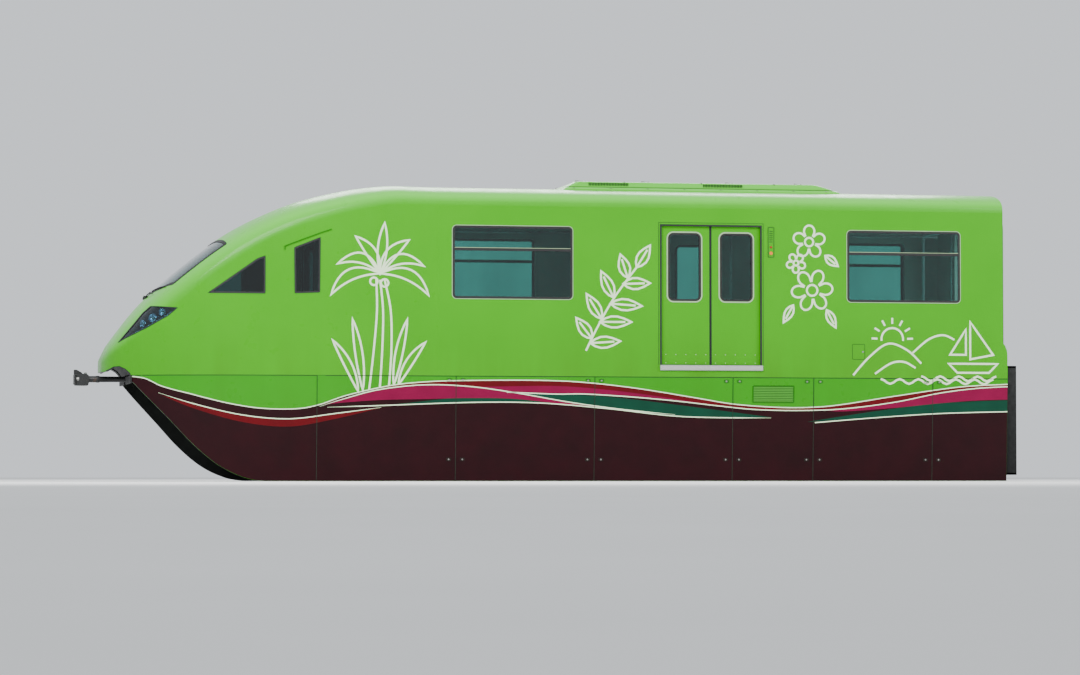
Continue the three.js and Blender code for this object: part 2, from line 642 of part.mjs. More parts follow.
// Half of a running wheelset as (radius, distance from the middle): twin tyres, rims and axle end.
const tyreEnd = TWIN_GAP / 2 + TYRE_WIDTH;
const WHEELSET_HALF = [
  [230, 0], [230, 18], [TYRE_R - 30, 20], [TYRE_R, 50], [TYRE_R, tyreEnd - 40], [TYRE_R - 35, tyreEnd],
  [265, tyreEnd - 5], [240, tyreEnd - 60], [110, tyreEnd - 30], [AXLE_R, tyreEnd - 30], [AXLE_R, 475], [0, 475],
];
const WHEELSET = [
  ...WHEELSET_HALF.slice(1).reverse().map(([r, y]) => [r, -y]),
  ...WHEELSET_HALF.slice(1),
];

// A guide or stabilising wheel as (radius, height), with its spindle on top.
const halfSideWheel = SIDE_WHEEL_WIDTH / 2;
const SIDE_WHEEL = [
  [0, -halfSideWheel + 25], [110, -halfSideWheel + 25], [160, -halfSideWheel], [GUIDE_R - 20, -halfSideWheel],
  [GUIDE_R, -halfSideWheel + 25], [GUIDE_R, halfSideWheel - 25], [GUIDE_R - 20, halfSideWheel],
  [STUB_R, halfSideWheel], [STUB_R, 180], [0, 180],
];

for (const { name, x } of BOGIES) {
  add(`bolster_${name}`, bolster().translate([x, 0, 0]), 'frame');
  add(`bogie_frame_${name}`, bogieFrame().translate([x, 0, 0]), 'frame');
  for (const { end, sign } of [{ end: 'fore', sign: -1 }, { end: 'aft', sign: 1 }]) {
    const wheelset = turned(WHEELSET, 24).rotateX(-Math.PI / 2);
    addGeometry(`wheelset_${name}_${end}`, wheelset, 'rubber', [x + sign * AXLE_OFFSET, 0, TYRE_R]);
    for (const [side, y] of [['left', -SIDE_WHEEL_Y], ['right', SIDE_WHEEL_Y]]) {
      const place = [x + sign * GUIDE_OFFSET, y, GUIDE_Z];
      addGeometry(`guide_wheel_${name}_${end}_${side}`, turned(SIDE_WHEEL, 18), 'rubber', place);
    }
  }
  for (const [side, y] of [['left', -SIDE_WHEEL_Y], ['right', SIDE_WHEEL_Y]]) {
    addGeometry(`stabilising_wheel_${name}_${side}`, turned(SIDE_WHEEL, 18), 'rubber', [x, y, STABLE_Z]);
  }
}

export default car;
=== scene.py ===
"""Looks of a straddle monorail's lead car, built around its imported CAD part.

Metres, in the part's own frame: the nose points to -X, the left side is -Y, and z = 0 is the top of the beam.
"""

import json
import math

import bmesh
import bpy
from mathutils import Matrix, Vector

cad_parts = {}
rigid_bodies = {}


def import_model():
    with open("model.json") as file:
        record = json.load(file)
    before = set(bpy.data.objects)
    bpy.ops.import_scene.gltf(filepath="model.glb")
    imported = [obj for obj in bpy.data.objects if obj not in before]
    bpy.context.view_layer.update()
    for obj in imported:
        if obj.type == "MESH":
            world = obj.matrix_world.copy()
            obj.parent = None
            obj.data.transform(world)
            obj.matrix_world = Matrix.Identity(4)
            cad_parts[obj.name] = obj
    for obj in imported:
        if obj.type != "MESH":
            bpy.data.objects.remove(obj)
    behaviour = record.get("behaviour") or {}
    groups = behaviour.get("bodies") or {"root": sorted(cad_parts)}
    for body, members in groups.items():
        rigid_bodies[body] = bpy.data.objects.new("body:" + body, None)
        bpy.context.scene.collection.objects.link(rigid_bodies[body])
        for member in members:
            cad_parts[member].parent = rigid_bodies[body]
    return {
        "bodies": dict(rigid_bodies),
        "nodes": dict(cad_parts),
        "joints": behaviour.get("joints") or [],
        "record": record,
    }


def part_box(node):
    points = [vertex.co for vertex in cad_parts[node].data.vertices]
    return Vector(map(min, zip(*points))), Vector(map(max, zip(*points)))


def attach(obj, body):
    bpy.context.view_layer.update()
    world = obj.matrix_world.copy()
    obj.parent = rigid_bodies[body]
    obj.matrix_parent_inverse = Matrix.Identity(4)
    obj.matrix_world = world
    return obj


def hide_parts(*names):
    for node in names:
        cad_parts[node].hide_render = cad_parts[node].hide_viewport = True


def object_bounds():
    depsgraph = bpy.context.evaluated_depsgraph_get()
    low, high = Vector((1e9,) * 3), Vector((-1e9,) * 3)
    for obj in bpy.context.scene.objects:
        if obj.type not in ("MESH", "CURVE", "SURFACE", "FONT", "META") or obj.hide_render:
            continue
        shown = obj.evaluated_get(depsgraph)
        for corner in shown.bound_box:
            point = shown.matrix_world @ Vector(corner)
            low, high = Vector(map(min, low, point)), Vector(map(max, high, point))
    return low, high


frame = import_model()
CAD_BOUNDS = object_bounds()
CAR = "car_body"
SIDES = (("left", -1), ("right", 1))
ENDS = (("fore", -1), ("aft", 1))

# Driving dimensions

HALF_WIDTH = 1.325
REAR_X = 6.0
SKIRT_Z, TOE_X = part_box("skirt_main_left")[0].z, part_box("skirt_main_left")[1].x
CAB_X = -1.65
SILL_Z, CREASE_Z, CANTRAIL_Z, ROOF_Z, CEILING_Z = 0.62, 0.46, 2.68, 2.975, 2.79
SKIRT_LEAN = 0.07
SKIRT_JOINT_X = -3.235
CAB_WALL = 0.08
ROOF_POWER = 2.8  # of the superellipse that the roof turns through

# Sections of the nose: x, half width, spring (where the side turns into the roof), top
CAB_SECTIONS = [
    (CAB_X, HALF_WIDTH, CANTRAIL_Z, ROOF_Z), (-2.15, HALF_WIDTH, 2.68, 2.985), (-2.60, HALF_WIDTH, 2.62, 2.945),
    (-3.00, HALF_WIDTH, 2.52, 2.868), (-3.435, 1.318, 2.39, 2.75), (-3.85, 1.300, 2.21, 2.58),
    (-4.262, 1.265, 1.96, 2.365), (-4.70, 1.200, 1.64, 2.05), (-5.012, 1.120, 1.36, 1.795),
    (-5.277, 1.020, 1.12, 1.55), (-5.485, 0.910, 0.94, 1.33), (-5.694, 0.745, 0.78, 1.065),
    (-5.82, 0.600, 0.69, 0.895), (-5.89, 0.470, 0.64, 0.795), (-5.926, 0.330, 0.60, 0.70),
]

# Openings of the cab, as (x, z) outlines on the side and one (x, y) outline seen from above
QUARTER_LIGHT = [(-4.64, 1.515), (-3.904, 1.51), (-3.904, 2.0), (-4.01, 1.962)]
CAB_WINDOW = [(-3.53, 1.515), (-3.2, 1.529), (-3.194, 2.245), (-3.537, 2.108)]
HEADLAMP = [
    (-5.745, 0.885), (-5.64, 0.945), (-5.405, 1.065), (-5.131, 1.222), (-5.011, 1.328),
    (-5.222, 1.345), (-5.342, 1.356), (-5.434, 1.272), (-5.538, 1.142),
]
WINDSCREEN = [
    (-5.3, 0), (-5.275, -0.35), (-5.2, -0.65), (-5.06, -0.925),
    (-4.804, -1.005), (-4.378, -1.085), (-4.42, -0.7), (-4.44, -0.35), (-4.45, 0),
]
LIP_CUT = [
    (-5.59, 0.3), (-5.59, 0.455), (-5.603, 0.488), (-5.657, 0.542), (-5.726, 0.577), (-5.793, 0.573),
    (-5.841, 0.543), (-5.865, 0.52), (-5.99, 0.52), (-5.99, 0.3),
]
FOOT_LINE = [(-5.592, 0.405), (-5.42, 0.215), (-5.1, -0.12), (-4.8, -0.44), (-4.5, -0.69), (-4.2, -0.84),
             (-3.9, SKIRT_Z), (SKIRT_JOINT_X - 0.003, SKIRT_Z)]

WINDOW_Z = (1.47, 2.42)
WINDOWS_X = ((-1.47, 0.123), (3.84, 5.404))
DOOR_X = (1.305, 2.663)
DOOR_TOP = 2.46
DOOR_MID = sum(DOOR_X) / 2
LEAF_OUT, LEAF_IN = 1.29, 1.245  # how far out the faces of the leaves are
LEAF_WINDOW_Z = (1.468, 2.358)
LEAF_WINDOW_FROM_MID = (0.131, 0.571)

BOGIES = {"front": -3.2, "rear": 4.15}


# Curves

def clamp(value, low=0.0, high=1.0):
    return max(low, min(high, value))


def spaced(start, end, count):
    """Evenly spaced values from start to end, both included."""
    return [start + (end - start) * k / count for k in range(count + 1)]


def section_at(x):
    """Half width, spring and top of the nose at x, on a smooth curve through the sections."""
    rows = CAB_SECTIONS
    if x >= rows[0][0]:
        return rows[0][1:]
    if x <= rows[-1][0]:
        return rows[-1][1:]
    i = next(k for k in range(1, len(rows)) if rows[k][0] <= x)
    rise = lambda k, column: (rows[k][column] - rows[k - 1][column]) / (rows[k][0] - rows[k - 1][0])

    def slope(k, column):
        """Harmonic mean of the slopes on both sides of row k, so that the curve never overshoots."""
        if k == 0:
            return 0.0
        before, after = rise(k, column), rise(min(k + 1, len(rows) - 1), column)
        return 0.0 if before * after <= 0 else 2 * before * after / (before + after)

    width = rows[i][0] - rows[i - 1][0]
    t = (x - rows[i - 1][0]) / width
    return [
        (2 * t**3 - 3 * t**2 + 1) * rows[i - 1][column] + (t**3 - 2 * t**2 + t) * slope(i - 1, column) * width
        + (-2 * t**3 + 3 * t**2) * rows[i][column] + (t**3 - t**2) * slope(i, column) * width
        for column in (1, 2, 3)
    ]


def lean_at(z):
    return SKIRT_LEAN * (CREASE_Z - z) / (CREASE_Z - SKIRT_Z) if z < CREASE_Z else 0.0


def side_y(x, z):
    """How far out the side of the car is at (x, z), round the shoulder of the roof too."""
    half_width, spring, top = section_at(x)
    if z <= spring:
        return half_width - lean_at(z)
    rise = clamp((z - spring) / (top - spring), 0, 0.9999)
    return half_width * (1 - rise**ROOF_POWER) ** (1 / ROOF_POWER)


def top_z(x, y):
    """Height of the roof or nose above (x, y)."""
    half_width, spring, top = section_at(x)
    reach = clamp(abs(y) / half_width, 0, 0.9999)
    return spring + (top - spring) * (1 - reach**ROOF_POWER) ** (1 / ROOF_POWER)


def off_skin(height, a, b, step=0.01):
    """Slopes of a skin given as height(a, b), along a and along b."""
    return (height(a + step, b) - height(a - step, b)) / (2 * step), (height(a, b + step) - height(a, b - step)) / (2 * step)


def on_side(sign):
    """Places (x, z) outlines onto one side of the car: the depth is measured out from the skin, square to it."""
    def place(x, z, depth):
        along, up = off_skin(side_y, x, z)
        out = Vector((-along, 1, -up)).normalized()
        return (x + out.x * depth, sign * (side_y(x, z) + out.y * depth), z + out.z * depth)
    return place


def on_top(x, y, depth):
    """Places (x, y) outlines onto the nose, seen from above."""
    along, across = off_skin(top_z, x, y)
    out = Vector((-along, -across, 1)).normalized()
    return (x + out.x * depth, y + out.y * depth, top_z(x, y) + out.z * depth)


def on_skirt(sign):
    """Places (x, z) on the skirt: like on_side, but flat behind the joint of the nose skirt."""
    nose, slope = on_side(sign), SKIRT_LEAN / (CREASE_Z - SKIRT_Z)

    def place(x, z, depth):
        if x < SKIRT_JOINT_X:
            return nose(x, z, depth)
        return (x, sign * (HALF_WIDTH - lean_at(z) + depth), z - depth * slope)
    return place


def upright(sign, out, way=1):
    """Places (x, z) on an upright face that lies `out` from the middle."""
    return lambda x, z, depth: (x, sign * (out + way * depth), z)


def across_car(y, z, x):
    return (x, y, z)


def along_car(x, z, y):
    return (x, y, z)


def flat(x, y, z):
    return (x, y, z)


def neighbours(points):
    """Each point of a closed outline with the ones before and after it."""
    count = len(points)
    return [[Vector(points[(i + k) % count]) for k in (-1, 0, 1)] for i in range(count)]


def path_turns(points, closed):
    """Each point of a path, the directions into and out of it, and the one between them."""
    path = [Vector(p) for p in points]
    count = len(path)
    for i, here in enumerate(path):
        ahead = (path[(i + 1) % count] - here).normalized() if i < count - 1 or closed else None
        into = (here - path[i - 1]).normalized() if i or closed else ahead
        ahead = ahead or into
        yield here, into, ahead, (into + ahead).normalized() if (into + ahead).length > 1e-6 else into


def dense(points, step=0.04, closed=True):
    """The same outline with no stretch longer than `step`."""
    found = []
    for a, b in zip(points, [*points[1:], points[0]] if closed else points[1:]):
        a, b = Vector(a), Vector(b)
        parts = max(1, math.ceil((b - a).length / step))
        found += [tuple(a + (b - a) * k / parts) for k in range(parts)]
    return found if closed else [*found, tuple(points[-1])]


def rounded_rect(u, v, radius, steps=8):
    """Corner points of a rectangle with round corners."""
    corners = ((u[1] - radius, v[0] + radius, -90), (u[1] - radius, v[1] - radius, 0),
               (u[0] + radius, v[1] - radius, 90), (u[0] + radius, v[0] + radius, 180))
    turns = [(cu, cv, math.radians(angle)) for cu, cv, start in corners for angle in spaced(start, start + 90, steps)]
    return [(cu + radius * math.cos(angle), cv + radius * math.sin(angle)) for cu, cv, angle in turns]


def bow(a, middle, b, steps):
    """Points of a round arc from a to b that is drawn towards `middle`."""
    return [tuple((1 - t) ** 2 * a + 2 * t * (1 - t) * middle + t * t * b) for t in spaced(0, 1, steps)]


def rounded(points, radius, steps=5):
    """An outline whose corners are turned into arcs that start `radius` away from each corner."""
    found = []
    for before, here, after in neighbours(points):
        a, b = (here + (end - here).normalized() * min(radius, (end - here).length * 0.45) for end in (before, after))
        found += bow(a, here, b, steps)
    return found


def offset_outline(points, margin):
    """A closed outline moved outwards by `margin` (inwards where it is negative), corner by corner."""
    area = sum(here.cross(after) for _, here, after in neighbours(points))
    turn = 1 if area > 0 else -1
    found = []
    for before, here, after in neighbours(points):
        n1, n2 = (Vector((d.y, -d.x)).normalized() * turn for d in (here - before, after - here))
        across = (n1 + n2).normalized()
        found.append(tuple(here + across * margin / max(across.dot(n1), 0.5)))
    return found


def spline(points, steps=8):
    """Points along a smooth curve through the given ones."""
    ends = [Vector(p) for p in (points[0], *points, points[-1])]
    found = []
    for p0, p1, p2, p3 in zip(ends, ends[1:], ends[2:], ends[3:]):
        for t in spaced(0, 1, steps)[:-1]:
            found.append(tuple(0.5 * (
                2 * p1 + (p2 - p0) * t + (2 * p0 - 5 * p1 + 4 * p2 - p3) * t**2 + (3 * p1 - p0 - 3 * p2 + p3) * t**3
            )))
    return [*found, tuple(points[-1])]


def curve_height(points, x):
    """Height at x of a curve through (x, z) points that run along the car."""
    ordered = sorted(points)
    if x <= ordered[0][0]:
        return ordered[0][1]
    for (xa, za), (xb, zb) in zip(ordered, ordered[1:]):
        if x <= xb:
            return za + (zb - za) * (x - xa) / (xb - xa)
    return ordered[-1][1]


def circle(centre, radius, start=0.0, end=360.0, count=24):
    """Points round a circle, or round part of it."""
    angles = [math.radians(start + (end - start) * k / count) for k in range(count + (end - start < 360))]
    return [(centre[0] + radius * math.cos(a), centre[1] + radius * math.sin(a)) for a in angles]


# Meshes

def tidy_mesh(mesh, smooth=True, angle=35, weld=False):
    """Faces outwards, and edges sharp only where the surface really turns."""
    bm = bmesh.new()
    bm.from_mesh(mesh)
    if weld:
        bmesh.ops.remove_doubles(bm, verts=bm.verts, dist=1e-6)
    bmesh.ops.recalc_face_normals(bm, faces=bm.faces)
    bm.to_mesh(mesh)
    bm.free()
    mesh.polygons.foreach_set("use_smooth", [smooth] * len(mesh.polygons))
    if smooth:
        mesh.set_sharp_from_angle(angle=math.radians(angle))
    mesh.update()


class Shape:
    """Vertices and faces that are gathered and then made into one piece."""

    def __init__(self):
        self.vertices, self.faces, self.indices = [], [], []

    def put(self, vertices, faces, index=0):
        start = len(self.vertices)
        self.vertices += [tuple(v) for v in vertices]
        self.faces += [tuple(start + i for i in face) for face in faces]
        self.indices += [index] * len(faces)
        return self

    def rings(self, rings, closed=False, caps=True, index=0, open_rings=False):
        """A skin over rings of equal point count. `closed` joins the last ring to the first."""
        count = len(rings[0])
        faces = []
        for r in range(len(rings) if closed else len(rings) - 1):
            a, b = r * count, ((r + 1) % len(rings)) * count
            for i in range(count - open_rings):
                k = (i + 1) % count
                faces.append((a + i, a + k, b + k, b + i))
        if caps and not closed:
            faces.append(tuple(reversed(range(count))))
            faces.append(tuple(range((len(rings) - 1) * count, len(rings) * count)))
        return self.put([p for ring in rings for p in ring], faces, index)

    def box(self, corner, opposite, bevel=0.0, index=0):
        """A block between two opposite corners, with its long edges cut off by `bevel`."""
        (x0, x1), (y0, y1), (z0, z1) = (sorted(pair) for pair in zip(corner, opposite))
        b = min(bevel, (x1 - x0) / 2.2, (y1 - y0) / 2.2, (z1 - z0) / 2.2)
        if b <= 0:
            return self.rings([[(x0, y0, z), (x1, y0, z), (x1, y1, z), (x0, y1, z)] for z in (z0, z1)], index=index)
        slim = b * 0.6
        rings = []
        for s, z in ((slim, z0), (0, z0 + slim), (0, z1 - slim), (slim, z1)):
            rings.append([(x0 + s + b, y0 + s, z), (x1 - s - b, y0 + s, z), (x1 - s, y0 + s + b, z), (x1 - s, y1 - s - b, z),
                          (x1 - s - b, y1 - s, z), (x0 + s + b, y1 - s, z), (x0 + s, y1 - s - b, z), (x0 + s, y0 + s + b, z)])
        return self.rings(rings, index=index)

    def tube(self, points, radius, sides=12, closed=False, index=0):
        """A round bar along points, mitred at each corner."""
        rings, up = [], None
        for here, into, ahead, along in path_turns(points, closed):
            if up is None:
                up = Vector((0, 0, 1)) if abs(along.z) < 0.9 else Vector((1, 0, 0))
            up = (up - along * up.dot(along)).normalized()
            side = along.cross(up)
            stretch = 1 / max(along.dot(into), 0.35)
            bend = ahead - into
            bend = (bend - along * bend.dot(along)).normalized() if bend.length > 1e-6 else None
            ring = []
            for c, s in circle((0, 0), radius, count=sides):
                offset = side * c + up * s
                ring.append(here + offset + (bend * offset.dot(bend) * (stretch - 1) if bend else Vector()))
            rings.append(ring)
        return self.rings(rings, closed=closed, index=index)

    def turned(self, profile, origin, axis, segments=32, closed=False, index=0):
        """A turned form from (radius, height) points along an axis that is "X", "Y" or "Z"."""
        spot = {"X": lambda r, h, c, s: (h, r * c, r * s), "Y": lambda r, h, c, s: (r * s, h, r * c),
                "Z": lambda r, h, c, s: (r * c, r * s, h)}[axis]
        rings = [[Vector(origin) + Vector(spot(r, h, c, s)) for r, h in profile] for c, s in circle((0, 0), 1, count=segments)]
        return self.rings(rings, closed=True, index=index, open_rings=not closed)

    def peg(self, radius, low, high, origin, axis, segments=6, index=0):
        """A plain round or hexagonal peg."""
        return self.turned([(0.0, low), (radius, low), (radius, high), (0.0, high)], origin, axis, segments, index=index)

    def plate(self, outline, place, depth, index=0):
        """A flat outline in (u, v) given depth: place(u, v, w) says where a point is."""
        return self.rings([[place(u, v, w) for u, v in outline] for w in depth], index=index)

    def ribbon(self, points, width, place, depth, closed=False, index=0):
        """A flat band of `width` along (u, v) points, from depth[0] to depth[1]."""
        rings = []
        for here, into, _, along in path_turns(points, closed):
            across = Vector((-along.y, along.x)) * (width / 2 / max(along.dot(into), 0.5))
            a, b = here + across, here - across
            rings.append([place(*a, depth[0]), place(*b, depth[0]), place(*b, depth[1]), place(*a, depth[1])])
        return self.rings(rings, closed=closed, index=index)

    def frame(self, outline, inner, outer, place, depth, index=0):
        """A flat frame round an outline, from `inner` to `outer` margins and from depth[0] to depth[1]."""
        corners = ((outer, depth[0]), (outer, depth[1]), (inner, depth[1]), (inner, depth[0]))
        return self.rings([[place(u, v, w) for u, v in offset_outline(outline, margin)] for margin, w in corners],
                          closed=True, index=index)

    def mirrored(self):
        """The same shape on the other side of the car."""
        other = Shape()
        other.vertices = [(x, -y, z) for x, y, z in self.vertices]
        other.faces = [tuple(reversed(face)) for face in self.faces]
        other.indices = self.indices
        return other

    def piece(self, name, finishes, slot=None, body=CAR, replaces=None, smooth=True, angle=35, weld=True):
        """The gathered shape as a mesh that rides on a body. `finishes` names its materials by index."""
        mesh = bpy.data.meshes.new(name)
        mesh.from_pydata(self.vertices, [], self.faces)
        for key in finishes.split():
            mesh.materials.append(M[key])
        mesh.polygons.foreach_set("material_index", self.indices)
        tidy_mesh(mesh, smooth, angle, weld)
        made = bpy.data.objects.new(name, mesh)
        bpy.context.scene.collection.objects.link(made)
        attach(made, body)
        if replaces:
            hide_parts(replaces)
        return made


# Materials

class Finish:
    """A procedural material: a Principled shader, and what changes over the surface."""

    def __init__(self, name, **sockets):
        self.material = bpy.data.materials.new(name)
        self.material.use_nodes = True
        self.tree = self.material.node_tree
        self.shader = self.tree.nodes["Principled BSDF"]
        self.where = self.tree.nodes.new("ShaderNodeTexCoord").outputs["Object"]
        for label, value in sockets.items():
            title = label.replace("_", " ").title().replace("Ior", "IOR")
            self.shader.inputs[title].default_value = value

    def node(self, kind, inputs=None, **settings):
        made = self.tree.nodes.new("ShaderNode" + kind)
        for key, value in settings.items():
            setattr(made, key, value)
        for key, value in (inputs or {}).items():
            if isinstance(value, bpy.types.NodeSocket):
                self.tree.links.new(value, made.inputs[key])
            else:
                made.inputs[key].default_value = value
        return made

    def noise(self, scale, detail=3, stretch=None, distortion=0.0):
        vector = self.where
        if stretch:
            vector = self.node("Mapping", {"Vector": vector, "Scale": stretch}).outputs[0]
        inputs = {"Vector": vector, "Scale": scale, "Detail": detail, "Distortion": distortion}
        return self.node("TexNoise", inputs).outputs["Fac"]

    def math(self, operation, a, b=0.0):
        return self.node("Math", {0: a, 1: b}, operation=operation).outputs[0]

    def ranged(self, value, low, high, a=0.0, b=1.0):
        """value from low to high, turned into a to b."""
        inputs = {"Value": value, "From Min": low, "From Max": high, "To Min": a, "To Max": b}
        return self.node("MapRange", inputs).outputs[0]

    def cloud(self, scale, detail=4, a=0.0, b=1.0, stretch=None):
        """Soft patches between a and b."""
        return self.ranged(self.noise(scale, detail, stretch), 0.3, 0.7, a, b)

    def axis(self, name):
        return self.node("SeparateXYZ", {0: self.where}).outputs[name]

    def upward(self):
        """How far the surface faces up, -1 to 1."""
        return self.node("SeparateXYZ", {0: self.node("NewGeometry").outputs["Normal"]}).outputs["Z"]

    def mix(self, share, a, b):
        """From colour a to colour b."""
        full = lambda c: c if isinstance(c, bpy.types.NodeSocket) else (*c, 1.0)
        return self.node("Mix", {0: share, 6: full(a), 7: full(b)}, data_type="RGBA").outputs[2]

    def bump(self, height, distance, strength=1.0):
        before = self.shader.inputs["Normal"].links
        made = self.node("Bump", {"Height": height, "Distance": distance, "Strength": strength})
        if before:
            self.tree.links.new(before[0].from_socket, made.inputs["Normal"])
        self.tree.links.new(made.outputs[0], self.shader.inputs["Normal"])

    def done(self, color, rough, *bumps):
        """The finished material. Each bump is a height, a distance in metres and a strength."""
        self.tree.links.new(color, self.shader.inputs["Base Color"])
        if rough:
            self.tree.links.new(rough, self.shader.inputs["Roughness"])
        for bump in bumps:
            self.bump(*bump)
        return self.material


def srgb(red, green, blue):
    """A colour given as it is read from a picture, 0 to 255."""
    return tuple(c / 12.92 if c <= 0.04045 else ((c + 0.055) / 1.055) ** 2.4 for c in (red / 255, green / 255, blue / 255))


def scaled(color, factor):
    return tuple(min(c * factor, 1.0) for c in color)


# The fourth colour is a pale mint: a painted reflection of the sky on surfaces that face up.
# The third colour is a darker lime, painted shade for the skirts below the crease and for the end wall.
LIME, LIME_SHADE, SHADED_LIME, SKY_SHEEN_LIME = srgb(62, 162, 0), srgb(58, 155, 0), srgb(42, 146, 0), srgb(104, 206, 72)
# The colour that the paint darkens towards, lower down.
DARKENING_GREEN = srgb(70, 92, 22)
LINING = srgb(205, 208, 200)
INSIDE_SKIRT = srgb(30, 34, 30)
BARE = (180, 0.0004)  # scale and depth of the usual grain


def plain(name, color, rough=(0.4, 0.55), vary=0.12, scale=5.0, grain=BARE, dust=None, **sockets):
    """A finish whose colour and gloss change softly, with a fine grain, and dust on it where asked."""
    finish = Finish(name, **sockets)
    shade = finish.mix(finish.cloud(scale), scaled(color, 1 - vary), scaled(color, 1 + vary))
    if dust:
        shade = finish.mix(finish.ranged(finish.noise(5, 5), 0.45, 0.75, 0.0, 0.5), shade, dust)
    return finish.done(shade, finish.cloud(scale * 2.3, 3, *rough), (finish.noise(grain[0], 2), grain[1], 0.5))


def with_darkening(finish, color, dirt, low, high, reach):
    """The colour darkened from height `high` down to `low`, in streaks."""
    height = finish.ranged(finish.axis("Z"), low, high, 1.0, 0.0)
    streak = finish.noise(3.0, 5, (1.0, 1.0, 0.16))
    return finish.mix(finish.math("MULTIPLY", height, finish.ranged(streak, 0.35, 0.75, 0.05, reach)), color, dirt)


def paint(name, dirt=0.3, dirt_z=(0.35, 1.2), colors=(LIME, LIME_SHADE), lining=None, skirt=False):
    """Car body paint. With `lining`, what lies deeper than lining[1] under the side is lined, and from lining[0] on is
    dark. With `skirt`, the inner face of the leaning skirt is dark.
    """
    finish = Finish(name, metallic=0.0, coat_weight=0.12, coat_roughness=0.1, specular_ior_level=0.15)
    color = finish.mix(finish.cloud(0.8), *colors)
    up = finish.upward()
    # Painted sky reflection: surfaces that face up are mixed towards the pale mint.
    color = finish.mix(finish.ranged(up, 0.05, 0.75, 0.0, 0.95), color, SKY_SHEEN_LIME)
    # Darker towards the bottom, in streaks.
    color = with_darkening(finish, color, DARKENING_GREEN, *dirt_z, dirt)
    rough = finish.cloud(6, 4, 0.26, 0.38)
    across = finish.math("ABSOLUTE", finish.axis("Y"))
    if lining:
        ahead = finish.math("LESS_THAN", finish.axis("X"), REAR_X - 0.01)
        reveal, inner = (
            finish.math("MULTIPLY", ahead, finish.math("LESS_THAN", across, HALF_WIDTH - depth)) for depth in lining
        )
        color = finish.mix(reveal, color, scaled(LINING, 0.25))
        color = finish.mix(inner, color, finish.mix(finish.cloud(40, 3), LINING, scaled(LINING, 0.92)))
        rough = finish.ranged(inner, 0, 1, 0.32, 0.5)
    if skirt:
        below = finish.math("SUBTRACT", CREASE_Z, finish.axis("Z"))
        upright_y = finish.math("ADD", across, finish.math("MULTIPLY", below, SKIRT_LEAN / (CREASE_Z - SKIRT_Z)))
        behind = finish.math("LESS_THAN", upright_y, HALF_WIDTH - 0.012)
        color = finish.mix(finish.math("MAXIMUM", behind, finish.math("LESS_THAN", up, -0.6)), color, INSIDE_SKIRT)
    return finish.done(color, rough, (finish.noise(1.6, 2), 0.0012, 0.5), (finish.noise(240, 1), 0.00006, 0.5))


def fabric(name, color, thread, pitch=0.004):
    """Woven cloth: two sets of threads over and under each other."""
    finish = Finish(name, roughness=0.85, sheen_weight=0.3, sheen_roughness=0.5)
    heights = []
    for turn in (0.4, math.pi / 2 + 0.4):
        turned = finish.node("Mapping", {"Vector": finish.where, "Rotation": (0.0, 0.0, turn)}).outputs[0]
        wave = finish.node("TexWave", {"Vector": turned, "Scale": 0.31 / pitch, "Distortion": 0.6, "Detail": 1.0})
        heights.append(wave.outputs["Fac"])
    weave = finish.math("MAXIMUM", *heights)
    color = finish.mix(finish.cloud(9, 4, 0.0, 0.45), color, scaled(color, 0.7))
    color = finish.mix(finish.ranged(weave, 0.4, 1.0, 0.0, 0.35), color, thread)
    return finish.done(color, None, (weave, 0.0006, 0.6), (finish.noise(14, 3), 0.002, 0.4))


def pane(name, tint, rough=(0.02, 0.05)):
    finish = Finish(name, transmission_weight=1.0, ior=1.48, coat_weight=0.0)
    smear = finish.noise(2.5, 5, (1.0, 1.0, 0.5))
    color = finish.mix(finish.ranged(smear, 0.3, 0.8), tint, scaled(tint, 0.8))
    return finish.done(color, finish.ranged(smear, 0.4, 0.75, *rough), (finish.noise(1.1, 2), 0.0006, 0.3))


def painted_steel(name, color, rust=0.25):
    finish = Finish(name, metallic=0.0, specular_ior_level=0.45)
    base = finish.mix(finish.cloud(3, 5), scaled(color, 0.85), scaled(color, 1.15))
    worn = finish.ranged(finish.noise(9, 8, distortion=0.6), 0.62, 0.7, 0.0, rust)
    color = finish.mix(worn, base, srgb(104, 74, 50))
    return finish.done(color, finish.cloud(11, 4, 0.42, 0.68), (finish.noise(60, 4), 0.0006, 0.4))


def brushed(name, color, rough=(0.22, 0.38), stretch=(1.0, 1.0, 14.0)):
    finish = Finish(name, metallic=1.0)
    lines = finish.noise(30, 3, stretch)
    color = finish.mix(finish.ranged(lines, 0.3, 0.7), scaled(color, 0.88), color)
    return finish.done(color, finish.ranged(lines, 0.3, 0.7, *rough), (lines, 0.0001, 0.3))


def folded_rubber(name, color, dust):
    """Coated bellows cloth, pale with dust where it faces up."""
    finish = Finish(name, specular_ior_level=0.3)
    cloth = finish.mix(finish.cloud(4), scaled(color, 0.8), scaled(color, 1.15))
    settled = finish.math("MULTIPLY", finish.ranged(finish.upward(), 0.1, 1.0), finish.cloud(6, 4, 0.2, 0.8))
    return finish.done(finish.mix(settled, cloth, dust), finish.cloud(20, 3, 0.62, 0.85),
                       (finish.noise(260, 2), 0.0004, 0.5), (finish.noise(12, 3), 0.003, 0.35))


